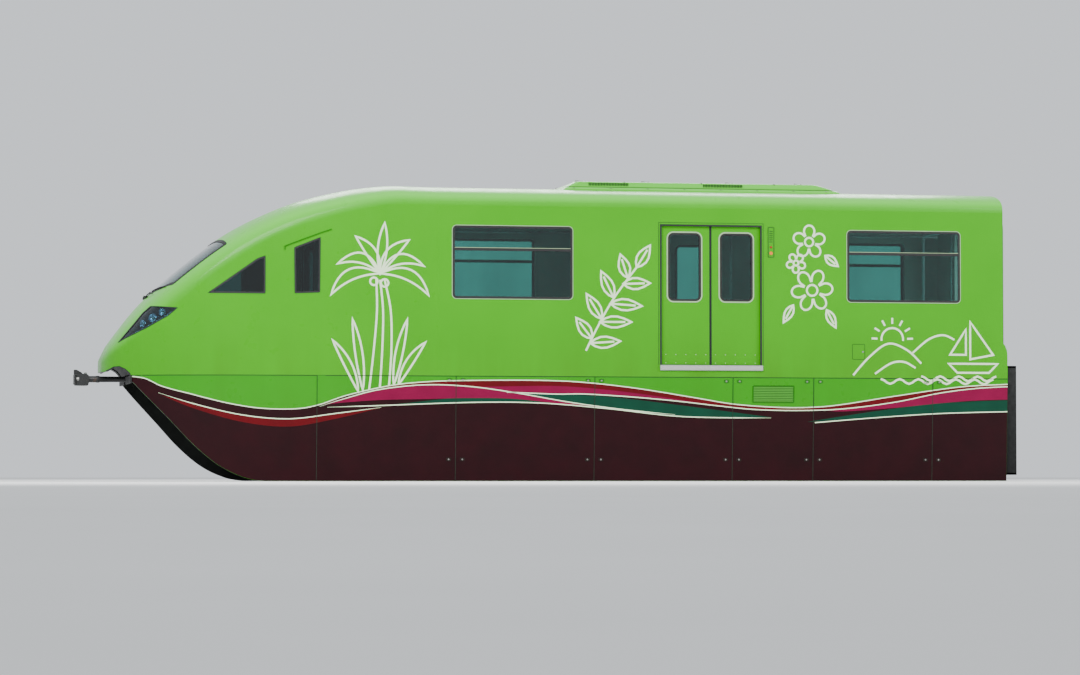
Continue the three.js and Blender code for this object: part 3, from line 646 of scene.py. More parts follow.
def underframe_finish(name):
    """Vinyl where one walks, panels on the boxes in the saloon, and painted steel below."""
    finish = Finish(name, specular_ior_level=0.35)
    height = finish.axis("Z")
    inside, box = (finish.math("GREATER_THAN", height, z) for z in (0.6, 0.64))
    top = finish.math("MULTIPLY", inside, finish.math("GREATER_THAN", finish.upward(), 0.5))
    chips = finish.node("TexVoronoi", {"Vector": finish.where, "Scale": 130.0}).outputs["Color"]
    grey = finish.node("SeparateColor", {0: chips}).outputs[0]
    vinyl = finish.mix(finish.ranged(grey, 0.75, 0.95), srgb(96, 104, 108), srgb(170, 176, 176))
    vinyl = finish.mix(finish.ranged(finish.noise(2, 4), 0.35, 0.8, 0.0, 0.4), vinyl, srgb(62, 64, 62))
    steel = finish.mix(finish.cloud(4, 6), srgb(48, 52, 56), srgb(70, 74, 78))
    rust = finish.ranged(finish.noise(7, 8, distortion=0.6), 0.62, 0.7, 0.0, 0.35)
    below = finish.mix(top, finish.mix(rust, steel, srgb(96, 70, 48)), vinyl)
    panel = finish.mix(finish.cloud(5), srgb(128, 134, 136), srgb(146, 152, 154))
    return finish.done(finish.mix(box, below, panel), finish.cloud(8, 3, 0.45, 0.66), (finish.noise(120, 2), 0.0004, 0.4))


def shaded_end_wall_finish(name):
    """A darker lime on the outer face as painted shade, darkening towards the bottom; lining inside."""
    finish = Finish(name, specular_ior_level=0.2)
    outer = finish.math("GREATER_THAN", finish.axis("X"), REAR_X - 0.02)
    cloud = finish.cloud(1.2)
    # Painted shade: the end wall's outer face is a darker lime than the car's sides.
    painted = finish.mix(cloud, scaled(SHADED_LIME, 0.82), scaled(SHADED_LIME, 0.92))
    painted = with_darkening(finish, painted, srgb(58, 64, 40), 0.3, 2.6, 0.8)
    color = finish.mix(outer, finish.mix(cloud, LINING, scaled(LINING, 0.93)), painted)
    return finish.done(color, finish.cloud(6, 4, 0.4, 0.58), (finish.noise(200, 2), 0.0001, 0.5))


# Skirt paint: a darker lime than the sides, as painted shade on the skirts below the crease.
SKIRT_PAINT = {"dirt": 0.6, "dirt_z": (-1.1, 0.6), "colors": (SHADED_LIME, scaled(SHADED_LIME, 0.93))}
FILM_GRAIN, LENS_GRAIN = (200, 0.0001), (300, 0.0002)
KINDS = {
    # kind of finish: what it makes, by name
    paint: {
        "side_paint": {"dirt": 0.35, "lining": (0.003, 0.1)},
        "door_paint": {"dirt_z": (0.45, 1.2), "lining": (0.06, 0.072)},
        "side_film": {"dirt": 0.1},
        "body_paint": {},
        "skirt_paint": {**SKIRT_PAINT, "skirt": True},
        "nose_skirt_paint": SKIRT_PAINT,
        "grille_paint": {**SKIRT_PAINT, "dirt_z": (-1.0, 0.6), "colors": (scaled(SHADED_LIME, 0.55), scaled(SHADED_LIME, 0.45))},
    },
    pane: {
        "window_glass": ((0.17, 0.5, 0.45),),
        "cab_glass": ((0.06, 0.2, 0.19),),
        "screen_glass": ((0.2, 0.42, 0.42),),
        "lamp_glass": ((0.2, 0.4, 0.52), (0.01, 0.03)),
        "clear_glass": ((0.8, 0.86, 0.84),),
    },
    painted_steel: {
        "frame": (srgb(58, 62, 66),),
        "bogie": (srgb(44, 47, 50), 0.45),
        "equipment": (srgb(92, 98, 102), 0.3),
        "coupler": (srgb(22, 23, 24), 0.3),
        "wheel": (srgb(150, 152, 150), 0.4),
    },
    brushed: {
        "steel": (srgb(196, 198, 200),),
        "sill": (srgb(206, 208, 204), (0.35, 0.55), (14.0, 1.0, 1.0)),
        "chrome": (srgb(232, 234, 236), (0.04, 0.12), (1.0, 1.0, 1.0)),
        "bolt": (srgb(150, 150, 146), (0.35, 0.6), (1.0, 1.0, 1.0)),
    },
    folded_rubber: {
        "bellows": (srgb(104, 78, 52), srgb(160, 134, 104)),
        "apron": (srgb(24, 25, 25), srgb(60, 62, 60)),
    },
    fabric: {
        "fabric": (srgb(24, 138, 128), srgb(66, 186, 172)),
        "driver_fabric": (srgb(34, 38, 44), srgb(66, 72, 80)),
    },
    underframe_finish: {"underframe": ()},
    shaded_end_wall_finish: {"end_wall": ()},
    plain: {
        "seam": (srgb(10, 24, 2), (0.6, 0.8), 0.2, 9, (120, 0.0003)),
        "seal": (srgb(17, 19, 19), (0.45, 0.62), 0.2, 8, (120, 0.0003)),
        "rubber": (srgb(26, 26, 27), (0.7, 0.88), 0.25, 8, (70, 0.001)),
        "tyre": (srgb(34, 34, 35), (0.75, 0.92), 0.25, 7, (90, 0.0008), srgb(92, 88, 80)),
        "skirt_inside": (INSIDE_SKIRT, (0.6, 0.75), 0.2, 5, (60, 0.0006)),
        "lining": (LINING, (0.45, 0.6), 0.05, 3, (160, 0.0002)),
        "ceiling": (srgb(225, 226, 220), (0.5, 0.62), 0.04, 3, (160, 0.0002)),
        "dark_lining": (srgb(46, 48, 50), (0.5, 0.7), 0.15, 5, (110, 0.0005)),
        "shell": (srgb(120, 132, 134), (0.35, 0.5), 0.06, 6, (200, 0.0002)),
        "piping": (srgb(18, 60, 58), (0.6, 0.8), 0.15, 30, (400, 0.0004)),
        "diffuser": (srgb(246, 246, 240), (0.3, 0.42), 0.02, 6, (500, 0.0002)),
        "desk": (srgb(44, 47, 50), (0.45, 0.62), 0.1, 6, (420, 0.0004)),
        "panel": (srgb(84, 88, 92), (0.4, 0.55), 0.06, 6, (300, 0.0003)),
        "screen": (srgb(16, 26, 34), (0.12, 0.2), 0.3, 12, (40, 0.00005)),
        "white_film": (srgb(226, 250, 206), (0.35, 0.48), 0.04, 4, FILM_GRAIN),
        "yellow": (srgb(222, 176, 20), (0.4, 0.55), 0.1, 8, (150, 0.0002)),
    },
}
M = {name: make(name, **settings) if isinstance(settings, dict) else make(name, *settings)
     for make, finishes in KINDS.items() for name, settings in finishes.items()}
M["trim"] = plain("trim", srgb(168, 196, 150), (0.3, 0.42), 0.06, 5, metallic=0.4)
for name, color, rough, vary in (
    ("magenta_film", srgb(120, 0, 54), (0.4, 0.5), 0.1), ("red_film", srgb(90, 0, 10), (0.4, 0.5), 0.12),
    ("teal_film", srgb(0, 60, 42), (0.4, 0.5), 0.12), ("maroon_film", srgb(34, 0, 6), (0.42, 0.55), 0.2),
):
    M[name] = plain(name, color, rough, vary, 3, FILM_GRAIN, specular_ior_level=0.15)
for name, color in (("amber", srgb(226, 120, 16)), ("red_lens", srgb(150, 12, 12))):
    M[name] = plain(name, color, (0.12, 0.25), 0.12, 20, LENS_GRAIN, coat_weight=0.6)


# Stage, lights and camera

def placed(name, data, location, aim):
    """A light or a camera that looks at a point."""
    made = bpy.data.objects.new(name, data)
    made.location = location
    made.rotation_euler = (Vector(aim) - Vector(location)).to_track_quat("-Z", "Y").to_euler()
    bpy.context.scene.collection.objects.link(made)
    return made


def studio():
    """A wide pale floor just under the car, soft lights, and the camera at floor level as in the photograph."""
    floor_z = CAD_BOUNDS[0][2] - 0.002
    bpy.ops.mesh.primitive_plane_add(size=320.0, location=(0, 0, floor_z))
    floor = bpy.context.object
    floor.name = "studio_floor"
    pale = Finish("studio_floor", specular_ior_level=0.15)
    color = pale.mix(pale.cloud(0.5, 3), (0.80, 0.80, 0.79), (0.83, 0.83, 0.82))
    floor.data.materials.append(pale.done(color, pale.cloud(3, 3, 0.75, 0.9)))

    world = bpy.data.worlds.new("studio")
    bpy.context.scene.world = world
    world.use_nodes = True
    sky = world.node_tree.nodes["Background"]
    sky.inputs["Color"].default_value = (0.86, 0.90, 0.95, 1)
    sky.inputs["Strength"].default_value = 1.0

    panels = [
        # place, width, height, power in watts
        ((-9.0, -16.0, 13.0), 12.0, 8.0, 4300),
        ((14.0, -12.0, 9.0), 9.0, 7.0, 1500),
        ((4.0, 17.0, 12.0), 14.0, 8.0, 2900),
    ]
    for i, (place, width, height, power) in enumerate(panels):
        light = bpy.data.lights.new(f"panel_{i}", "AREA")
        light.shape = "RECTANGLE"
        light.size, light.size_y, light.energy = width, height, power
        placed(f"panel_{i}", light, place, (0.0, 0.0, 1.0))

    camera = placed("camera", bpy.data.cameras.new("camera"), (-9.55, -48.1, floor_z + 0.06), (-0.05, 0.0, 1.02))
    camera.data.lens, camera.data.sensor_width, camera.data.clip_end = 122, 36, 400
    bpy.context.scene.camera = camera


# Cab shell, roof and skirts

def body_ring(half_width, foot, spring, top, steps=14, wall_steps=6):
    """A whole section of the body in (y, z), from the left foot over the roof to the right foot."""
    left = [(-half_width, z) for z in spaced(foot, spring, wall_steps)[:-1]]
    for angle in spaced(0.0, math.pi / 2, steps)[:-1]:
        left.append((-half_width * math.cos(angle) ** (2 / ROOF_POWER),
                     spring + (top - spring) * math.sin(angle) ** (2 / ROOF_POWER)))
    return [*left, (0.0, top), *((-y, z) for y, z in reversed(left))]


def cab_rings(inset, foot, spacing=0.09):
    """Rings of the nose moved in by `inset` along its own normals, from the joint to the tip."""
    tip, nudge = CAB_SECTIONS[-1][0], 0.02
    rings = []
    for x in spaced(CAB_X, tip, round((CAB_X - tip) / spacing)):
        half_width, spring, top = section_at(x)
        if inset:
            ahead, behind = max(x - nudge, tip), min(x + nudge, CAB_X)
            pitch = taper = 0.0
            if x < CAB_X:
                pitch, taper = (math.atan2(section_at(behind)[k] - section_at(ahead)[k], behind - ahead) for k in (2, 0))
            back, lower = inset * math.sin(pitch), inset * math.cos(pitch)
            narrower = (inset - back * math.sin(taper)) / math.cos(taper)
            half_width, spring, top, x = half_width - narrower, spring - lower, top - lower, x + back
        rings.append([(x, y, z) for y, z in body_ring(half_width, foot, spring, top)])
    return rings


def scrap(shape, finish):
    """A mesh that is only there to be cut with, or cut out of."""
    return shape.piece("cutter", finish, weld=False, smooth=False)


def cut(piece, shape, finish="seal", operation="DIFFERENCE"):
    """Cuts a shape out of a piece, which has the finish on the faces that are cut."""
    cutter = scrap(shape, finish)
    boolean = piece.modifiers.new("cut", "BOOLEAN")
    boolean.operation, boolean.solver, boolean.object = operation, "EXACT", cutter
    bpy.context.view_layer.update()
    done = bpy.data.meshes.new_from_object(piece.evaluated_get(bpy.context.evaluated_depsgraph_get()))
    piece.modifiers.clear()
    old, piece.data = piece.data, done
    mesh = cutter.data
    bpy.data.objects.remove(cutter)
    for spent in (old, mesh):
        bpy.data.meshes.remove(spent)
    tidy_mesh(done)


def side_prism(outline, y_span, sign):
    return Shape().plate(outline, lambda x, z, y: (x, sign * y, z), y_span)


def screen_outline(margin=0.0):
    whole = WINDSCREEN + [(x, -y) for x, y in reversed(WINDSCREEN) if y < 0]
    return offset_outline(rounded(whole, 0.03, 3), margin)


LAMP_REACH, SIDE_REACH, SCREEN_REACH = (0.33, 1.2), (0.6, 1.4), (1.4, 2.8)


def cab_shell():
    """The smooth shell of the nose with its openings: painted outside, lined inside, dark in the reveals."""
    outside = Shape().rings(cab_rings(0, CREASE_Z)).piece("cab_body", "body_paint dark_lining seal", "body_paint",
                                                          replaces="cab_shell")
    cut(outside, Shape().rings(cab_rings(CAB_WALL, CREASE_Z - 0.02)), "dark_lining")
    for sign in (-1, 1):
        for outline, reach in ((QUARTER_LIGHT, SIDE_REACH), (CAB_WINDOW, SIDE_REACH), (HEADLAMP, LAMP_REACH)):
            cut(outside, side_prism(outline, reach, sign))
    cut(outside, Shape().plate(screen_outline(), flat, SCREEN_REACH))
    cut(outside, side_prism(LIP_CUT, (-1.0, 1.0), 1))


def roof():
    """The saloon roof, smooth outside, with a plain ceiling under it."""
    inner_y = 1.21
    under = [(inner_y, CANTRAIL_Z), (inner_y - 0.06, CANTRAIL_Z + 0.065), (inner_y - 0.21, CEILING_Z)]
    section = body_ring(HALF_WIDTH, CANTRAIL_Z, CANTRAIL_Z, ROOF_Z, 18, 1) + under + [(-y, z) for y, z in reversed(under)]
    shape = Shape().rings([[(x, y, z) for y, z in section] for x in spaced(CAB_X + 0.0003, REAR_X, 24)])
    piece = shape.piece("roof_skin", "body_paint ceiling", "body_paint", replaces="roof")
    for face in piece.data.polygons:
        if face.center.z < CEILING_Z + 0.001 and abs(face.center.y) < inner_y and abs(face.normal.x) < 0.5:
            face.material_index = 1


def nose_skirts():
    """The nose skirts follow the plan of the nose, and their foot rises to the lip."""
    thick, top, rows = 0.04, CREASE_Z - 0.0003, 10
    rings = []
    for x, foot in spline(FOOT_LINE, 5):
        slope = (section_at(x + 0.06)[0] - section_at(x - 0.06)[0]) / 0.12
        across = thick * math.hypot(1, slope)
        levels = spaced(top, max(foot, SKIRT_Z), rows)
        rings.append([(x, -side_y(x, z), z) for z in levels] + [(x, across - side_y(x, z), z) for z in reversed(levels)])
    shape = Shape().rings(rings)
    for side, sign in SIDES:
        made = shape if sign < 0 else shape.mirrored()
        piece = made.piece(f"nose_skirt_{side}", "nose_skirt_paint skirt_inside", "skirt", replaces=f"skirt_nose_{side}")
        for face in piece.data.polygons:
            if face.normal.y * sign < 0.2:
                face.material_index = 1


# Wheels

AXLE_OFFSET = 0.75
TYRE_R, TYRE_WIDTH, TWIN_GAP = 0.43, 0.215, 0.04
GUIDE_R, GUIDE_OFFSET, GUIDE_Z, STABLE_Z, SIDE_WHEEL_WIDTH = 0.28, 1.0, -0.23, -0.71, 0.16
SIDE_WHEEL_Y = 0.4 + GUIDE_R


def tyre_section(radius, width, bead, grooves, depth=0.009, groove=0.011):
    """Half section of a tyre as (radius, across) points, with ribs between round grooves."""
    half, shoulder, crown, flank = width / 2, 0.03, 0.004, 0.002
    wall = [(bead, -half + 0.018), (bead + 0.02, -half + 0.004), ((bead + radius) / 2, -half), (radius - 0.045, -half + 0.004),
            (radius - 0.018, -half + 0.012), (radius - 0.006, -half + shoulder - 0.008)]
    ribs = []
    for k in range(grooves):
        middle = (k - (grooves - 1) / 2) * (width - 2 * shoulder) / grooves
        height = radius - crown * (middle / half) ** 2
        ribs += [(height, middle - groove / 2 - flank), (height - depth, middle - groove / 2 + flank),
                 (height - depth, middle + groove / 2 - flank), (height, middle + groove / 2 + flank)]
    return wall + ribs + [(r, -h) for r, h in reversed(wall)]


def nuts(shape, origin, axis, radius, count, at, size=0.013, height=0.02, index=2):
    """Hexagon nuts on a circle about an axis, standing out from `at` towards its far side."""
    out = math.copysign(height, at)
    for u, v in circle((0, 0), radius, count=count):
        spot = Vector({"Y": (v, 0, u), "Z": (u, v, 0)}[axis]) + Vector(origin)
        shape.turned([(0.0, at), (size, at), (size, at + out * 0.8), (size * 0.7, at + out), (0.0, at + out)],
                     spot, axis, 6, index=index)
        shape.peg(size * 0.5, at, at + out * 1.6, spot, axis, index=index)


def wheelset(name, origin):
    """An axle's end covers, rims and twin tyres."""
    shape = Shape()
    face = TWIN_GAP / 2 + TYRE_WIDTH
    # radius, depth behind the wheel's outer face
    dish = [(0.268, 0.02), (0.268, 0.004), (0.258, 0.002), (0.246, 0.012), (0.236, 0.058), (0.205, 0.062), (0.195, 0.045),
            (0.135, 0.034), (0.125, 0.022), (0.098, 0.02), (0.09, 0.002), (0.062, 0.0)]
    disc = [(0.226, 0.0), (0.226, 0.02), (0.262, 0.03)] + [(r, face - behind) for r, behind in dish]
    cover = [(0.062, face - 0.03), (0.06, face), (0.06, 0.47), (0.052, 0.475), (0.0, 0.475)]
    tyre = [(r, (TWIN_GAP + TYRE_WIDTH) / 2 + h) for r, h in tyre_section(TYRE_R, TYRE_WIDTH, 0.262, 4)]
    for side in (-1, 1):
        for index, (profile, segments) in enumerate(((tyre, 64), (disc, 48), (cover, 32))):
            shape.turned([(r, side * h) for r, h in profile], origin, "Y", segments, index=index)
        nuts(shape, origin, "Y", 0.165, 10, side * (face - 0.038))
    shape.piece(name.replace("wheelset", "tyres"), "tyre wheel bolt", "rubber", body=name, replaces=name)


def side_wheel(name, origin):
    """A guide wheel or a stabilising wheel, which lies flat against the beam's side."""
    half = SIDE_WHEEL_WIDTH / 2
    shape = Shape().turned(tyre_section(GUIDE_R, SIDE_WHEEL_WIDTH, 0.165, 3), origin, "Z", 48)
    disc = [(0.0, -0.05), (0.05, -0.05), (0.056, -0.042), (0.105, -0.04), (0.135, -0.058), (0.158, -half + 0.006),
            (0.168, -half + 0.004), (0.17, 0.0), (0.168, half - 0.004), (0.158, half - 0.006), (0.12, half - 0.02),
            (0.05, half - 0.012), (0.032, half - 0.01)]
    shape.turned(disc, origin, "Z", 40, index=1)
    shape.turned([(0.032, half - 0.012), (0.03, half), (0.03, 0.175), (0.026, 0.18), (0.0, 0.18)], origin, "Z", 24, index=2)
    nuts(shape, origin, "Z", 0.08, 6, -0.044, 0.011, 0.014)
    shape.piece(name.replace("wheel", "tyre"), "tyre wheel bolt", "rubber", body=name, replaces=name)


def wheels():
    for bogie, middle in BOGIES.items():
        for end, toward in ENDS:
            wheelset(f"wheelset_{bogie}_{end}", (middle + toward * AXLE_OFFSET, 0, TYRE_R))
    for bogie, middle in BOGIES.items():
        for side, sign in SIDES:
            for end, toward in ENDS:
                side_wheel(f"guide_wheel_{bogie}_{end}_{side}", (middle + toward * GUIDE_OFFSET, sign * SIDE_WHEEL_Y, GUIDE_Z))
            side_wheel(f"stabilising_wheel_{bogie}_{side}", (middle, sign * SIDE_WHEEL_Y, STABLE_Z))


# Gangway bellows and apron

BELLOWS_X = (REAR_X + 0.0003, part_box("gangway_bellows")[1].x)


def bellows():
    """Folded cloth bellows round the gangway, between two steel frames."""
    outer, inner, low, high = 0.665, 0.47, 0.56, 2.66
    folds, frame_depth = 7, 0.022
    hole = rounded_rect((-inner, inner), (low + 0.1, high - 0.1), 0.06, 6)
    edge = rounded_rect((-outer, outer), (low, high), 0.15, 6)
    x0, x1 = BELLOWS_X[0] + frame_depth, BELLOWS_X[1] - frame_depth
    pitch = (x1 - x0) / folds
    ring = lambda x, outline: [(x, y, z) for y, z in outline]
    rings = []
    for start in spaced(x0, x1, folds)[:-1]:
        # along one fold, how far out: 1 is the outer edge, 0 the inner one
        for t, reach in ((0.04, 0.1), (0.22, 0.66), (0.4, 0.97), (0.5, 1.0), (0.6, 0.97), (0.78, 0.66), (0.96, 0.1)):
            s = (1 - reach) * (outer - inner - 0.03)
            rings.append(ring(start + pitch * t,
                              rounded_rect((s - outer, outer - s), (low + s * 0.6, high - s), 0.15 - s * 0.35, 6)))
    shape = Shape().rings(rings + [ring(x, hole) for x in (x1, x0)], closed=True)
    for x in (BELLOWS_X[0], x1):
        band = ((0, edge), (frame_depth, edge), (frame_depth, hole), (0, hole))
        shape.rings([ring(x + dx, outline) for dx, outline in band], closed=True, index=1)
    shape.piece("bellows_folds", "bellows frame", "bellows", angle=50, replaces="gangway_bellows")


def apron():
    """A rubber apron that hangs below and beside the bellows: folded sheets between plain edges."""
    half, bottom, top = 1.195, -0.82, 0.64
    tunnel, tunnel_top, hole, hole_z = 0.45, 0.04, 0.085, (0.35, 0.48)
    waves, thick, edge, rim = 9, 0.03, 0.012, 0.03
    front, back = BELLOWS_X
    shape = Shape()
    for sign in (-1, 1):
        rows = []
        ends = sorted((sign * (tunnel + 0.01), sign * (half - edge)))
        for i, y in enumerate(spaced(*ends, waves * 8)):
            swing = 0.5 - 0.5 * math.cos(math.pi * i / 4)
            x = front + 0.004 + (back - front - thick - 0.008) * swing
            z0, z1 = bottom + 0.01, top - rim
            rows.append([(x, y, z0), (x + thick, y, z0), (x + thick, y, z1), (x, y, z1)])
        shape.rings(rows)
        for z in (bottom, top - rim):
            shape.box((front, sign * tunnel, z), (back, sign * half, z + rim), 0.006)
        for y in (tunnel, half - edge):
            shape.box((front, sign * y, bottom), (back, sign * (y + edge), top), 0.003)
        shape.box((front, sign * hole, tunnel_top), (back, sign * tunnel, top), 0.006)
    for low, high in ((tunnel_top, hole_z[0]), (hole_z[1], top)):
        shape.box((front, -hole, low), (back, hole, high), 0.006)
    shape.piece("gangway_apron", "apron", "rubber", angle=50)


# Panes, seals and headlamps

PANE, LENS, SLOT = (0.004, 0.016), (0.003, 0.009), 0.002
LAMP_BACK = 0.058


def cab_pane(name, depths, prism, finish, replaces=None):
    """A pane cut out of the nose's own curve, between two depths below its skin."""
    pane = scrap(Shape().rings(cab_rings(depths[0], CREASE_Z)), finish)
    cut(pane, Shape().rings(cab_rings(depths[1], CREASE_Z - 0.02)), finish)
    cut(pane, prism, finish, "INTERSECT")
    pane.name = pane.data.name = name
    if replaces:
        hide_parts(replaces)


def cab_panes():
    cab_pane("windscreen_pane", PANE, Shape().plate(screen_outline(-SLOT), flat, SCREEN_REACH), "screen_glass",
             "windscreen")
    for side, sign in SIDES:
        for name, outline in (("quarter", QUARTER_LIGHT), ("cab_window", CAB_WINDOW)):
            prism = side_prism(offset_outline(outline, -SLOT), SIDE_REACH, sign)
            cab_pane(f"{name}_pane_{side}", PANE, prism, "cab_glass", f"{name}_glass_{side}")
        prism = side_prism(offset_outline(HEADLAMP, -SLOT), LAMP_REACH, sign)
        cab_pane(f"headlamp_lens_{side}", LENS, prism, "lamp_glass", f"headlamp_{side}")
        cab_pane(f"headlamp_bowl_{side}", (LAMP_BACK - 0.004, LAMP_BACK + 0.01), prism, "seal")


def seals():
    """Rubber round every pane, with a thin pale trim outside it on the saloon windows."""
    bar = 2.112  # middle of the bar across a saloon window
    for side, sign in SIDES:
        place = on_side(sign)
        shape = Shape()
        for outline in (QUARTER_LIGHT, CAB_WINDOW):
            shape.frame(dense(rounded(outline, 0.03, 4)), -0.022, 0.0015, place, (-0.006, 0.0025))
        shape.frame(dense(rounded(HEADLAMP, 0.012, 3), 0.03), -0.009, 0.001, place, (-0.008, 0.0015))
        shape.piece(f"cab_seals_{side}", "seal", "rubber")

        windows, trim = Shape(), Shape()
        wall = sign * HALF_WIDTH
        for x in WINDOWS_X:
            outline = rounded_rect(x, WINDOW_Z, 0.055)
            windows.frame(outline, -0.03, 0.0, place, (-0.0045, 0.003))
            trim.frame(outline, 0.0, 0.008, place, (-0.001, 0.0035))
            windows.box((x[0] + 0.02, wall - 0.0045, bar - 0.018), (x[1] - 0.02, wall + 0.0045, bar + 0.018), 0.002)
            trim.box((x[0] + 0.03, wall - 0.0055, bar + 0.018), (x[1] - 0.03, wall + 0.0055, bar + 0.024), 0.001)
        windows.piece(f"window_seals_{side}", "seal", "rubber")
        trim.piece(f"window_trim_{side}", "trim", "rubber")

    shape = Shape().frame(dense(screen_outline(), 0.05), -0.035, 0.0015, on_top, (-0.006, 0.003))
    shape.piece("windscreen_seal", "seal", "rubber")


def headlamp_insides():
    """Three round lamps in each dark bowl, and a thin light strip along its lower edge."""
    lamps = ((-5.455, 1.135, 0.042), (-5.335, 1.205, 0.05), (-5.215, 1.275, 0.042))  # x, z, radius
    for side, sign in SIDES:
        place = on_side(sign)
        shape = Shape()
        for x, z, radius in lamps:
            base, tip = Vector(place(x, z, -LAMP_BACK)), Vector(place(x, z, -0.014))
            out = (tip - base).normalized()
            u = out.orthogonal().normalized()
            v = out.cross(u)
            # radius in lamp radii and height in depths of the bowl, then the bulb's radius in metres
            mirror = [(1.12, 0.0), (1.12, 0.9), (1.04, 0.96), (0.98, 0.9), (0.7, 0.35), (0.25, 0.12)]
            bulb = [(0.014, 0.1), (0.014, 0.5), (0.009, 0.62), (0.003, 0.66)]
            for index, (profile, scale) in enumerate(((mirror, radius), (bulb, 1.0))):
                shape.rings([[base + (tip - base) * h + (u * c + v * s) * r * scale for c, s in circle((0, 0), 1, count=28)]
                             for r, h in profile], index=index)
        strip = spline([(-5.70, 0.922), (-5.62, 0.972), (-5.42, 1.078), (-5.2, 1.2), (-5.08, 1.285)], 6)
        shape.ribbon(strip, 0.014, place, (-0.03, -0.02), index=1)
        shape.piece(f"headlamp_reflectors_{side}", "chrome white_film", "headlamp")


def nose_lip():
    """A dark liner in the arch below the nose, and the edge that runs round it."""
    shape = Shape()
    arch = [(x, z) for x, z in LIP_CUT if z > 0.4][:-2]
    for sign in (-1, 1):
        shape.ribbon(dense([*arch, (-5.884, 0.52)], 0.03, closed=False), 0.012, on_side(sign), (-0.02, 0.0015))
    cross = []
    for x, z in dense(arch, 0.04, closed=False):
        half = max(side_y(x, z) - 0.06, 0.2)
        cross.append([(x, -half, z + 0.02), (x, half, z + 0.02), (x, half, z + 0.035), (x, -half, z + 0.035)])
    shape.rings(cross)
    for y in ((-0.86, -0.12), (0.12, 0.86)):
        shape.box((-5.60, y[0], 0.36), (-5.575, y[1], 0.458), 0.004)
    shape.piece("nose_lip_liner", "rubber", "rubber")


def wipers():
    """Two wipers parked along the foot of the windscreen."""
    shape = Shape()
    for sign in (-1, 1):
        pivot, elbow = Vector((-5.33, sign * 0.16)), Vector((-5.275, sign * 0.5))
        shape.tube([on_top(*(pivot + (elbow - pivot) * t), 0.012 + 0.02 * math.sin(math.pi * t)) for t in spaced(0, 1, 4)], 0.007,
                   8)
        shape.tube([on_top(-5.262 + 0.13 * (y / 0.8) ** 2, sign * y, 0.012) for y in (0.2, 0.3, 0.4, 0.5, 0.6, 0.7, 0.78)], 0.008,
                   6)
        shape.turned([(0.0, -0.01), (0.026, -0.01), (0.026, 0.016), (0.018, 0.026), (0.0, 0.026)], on_top(*pivot, 0.0), "Z", 20)
    shape.piece("wipers", "rubber", "rubber")


# Doors

def screws(shape, places, place, radius=0.006, height=0.0025, index=0):
    """Low screw heads at (u, v) points on a surface."""
    levels = ((radius, -0.001), (radius, height * 0.6), (0.6 * radius, height))
    for spot in places:
        shape.rings([[place(*p, w) for p in circle(spot, r, count=10)] for r, w in levels], index=index)


def doors():
    """What each leaf carries: the frame of its window, the nosing where the leaves meet, and its foot."""
    for side, sign in SIDES:
        face, back = upright(sign, LEAF_OUT), upright(sign, LEAF_IN, -1)
        for name, toward in ENDS:
            from_mid = lambda *distances: sorted(DOOR_MID + toward * d for d in distances)
            outline = rounded_rect(from_mid(*LEAF_WINDOW_FROM_MID), LEAF_WINDOW_Z, 0.07)
            rubber, trim, kick = Shape(), Shape(), Shape()
            rubber.frame(outline, -0.022, 0.004, face, (-0.0045, 0.004))
            trim.frame(outline, 0.004, 0.022, face, (-0.001, 0.003))
            rubber.frame(outline, -0.02, 0.012, back, (-0.004, 0.004))
            near, far = from_mid(0.001, 0.016)
            rubber.box((near, sign * (LEAF_IN - 0.002), SILL_Z + 0.008), (far, sign * (LEAF_OUT + 0.004), 2.493), 0.003)
            start, end = from_mid(0.016, 0.655)
            for place, top, thick in ((face, 0.16, 0.002), (back, 0.2, 0.003)):
                plate = rounded_rect((start + 0.03, end - 0.03), (SILL_Z + 0.012, SILL_Z + top), 0.008, 3)
                kick.plate(plate, place, (-0.001, thick))
            spots = [(x, z) for x in spaced(start + 0.05, end - 0.05, 4) for z in (SILL_Z + 0.03, SILL_Z + 0.14)]
            screws(trim, spots, upright(sign, LEAF_OUT + 0.002))
            for shape, label, finish, slot in ((rubber, "seals", "seal", "rubber"), (trim, "trim", "trim", "body_paint"),
                                               (kick, "kick_plates", "door_paint", "body_paint")):
                shape.piece(f"door_{label}_{name}_{side}", finish, slot, body=f"door_leaf_{name}_{side}")


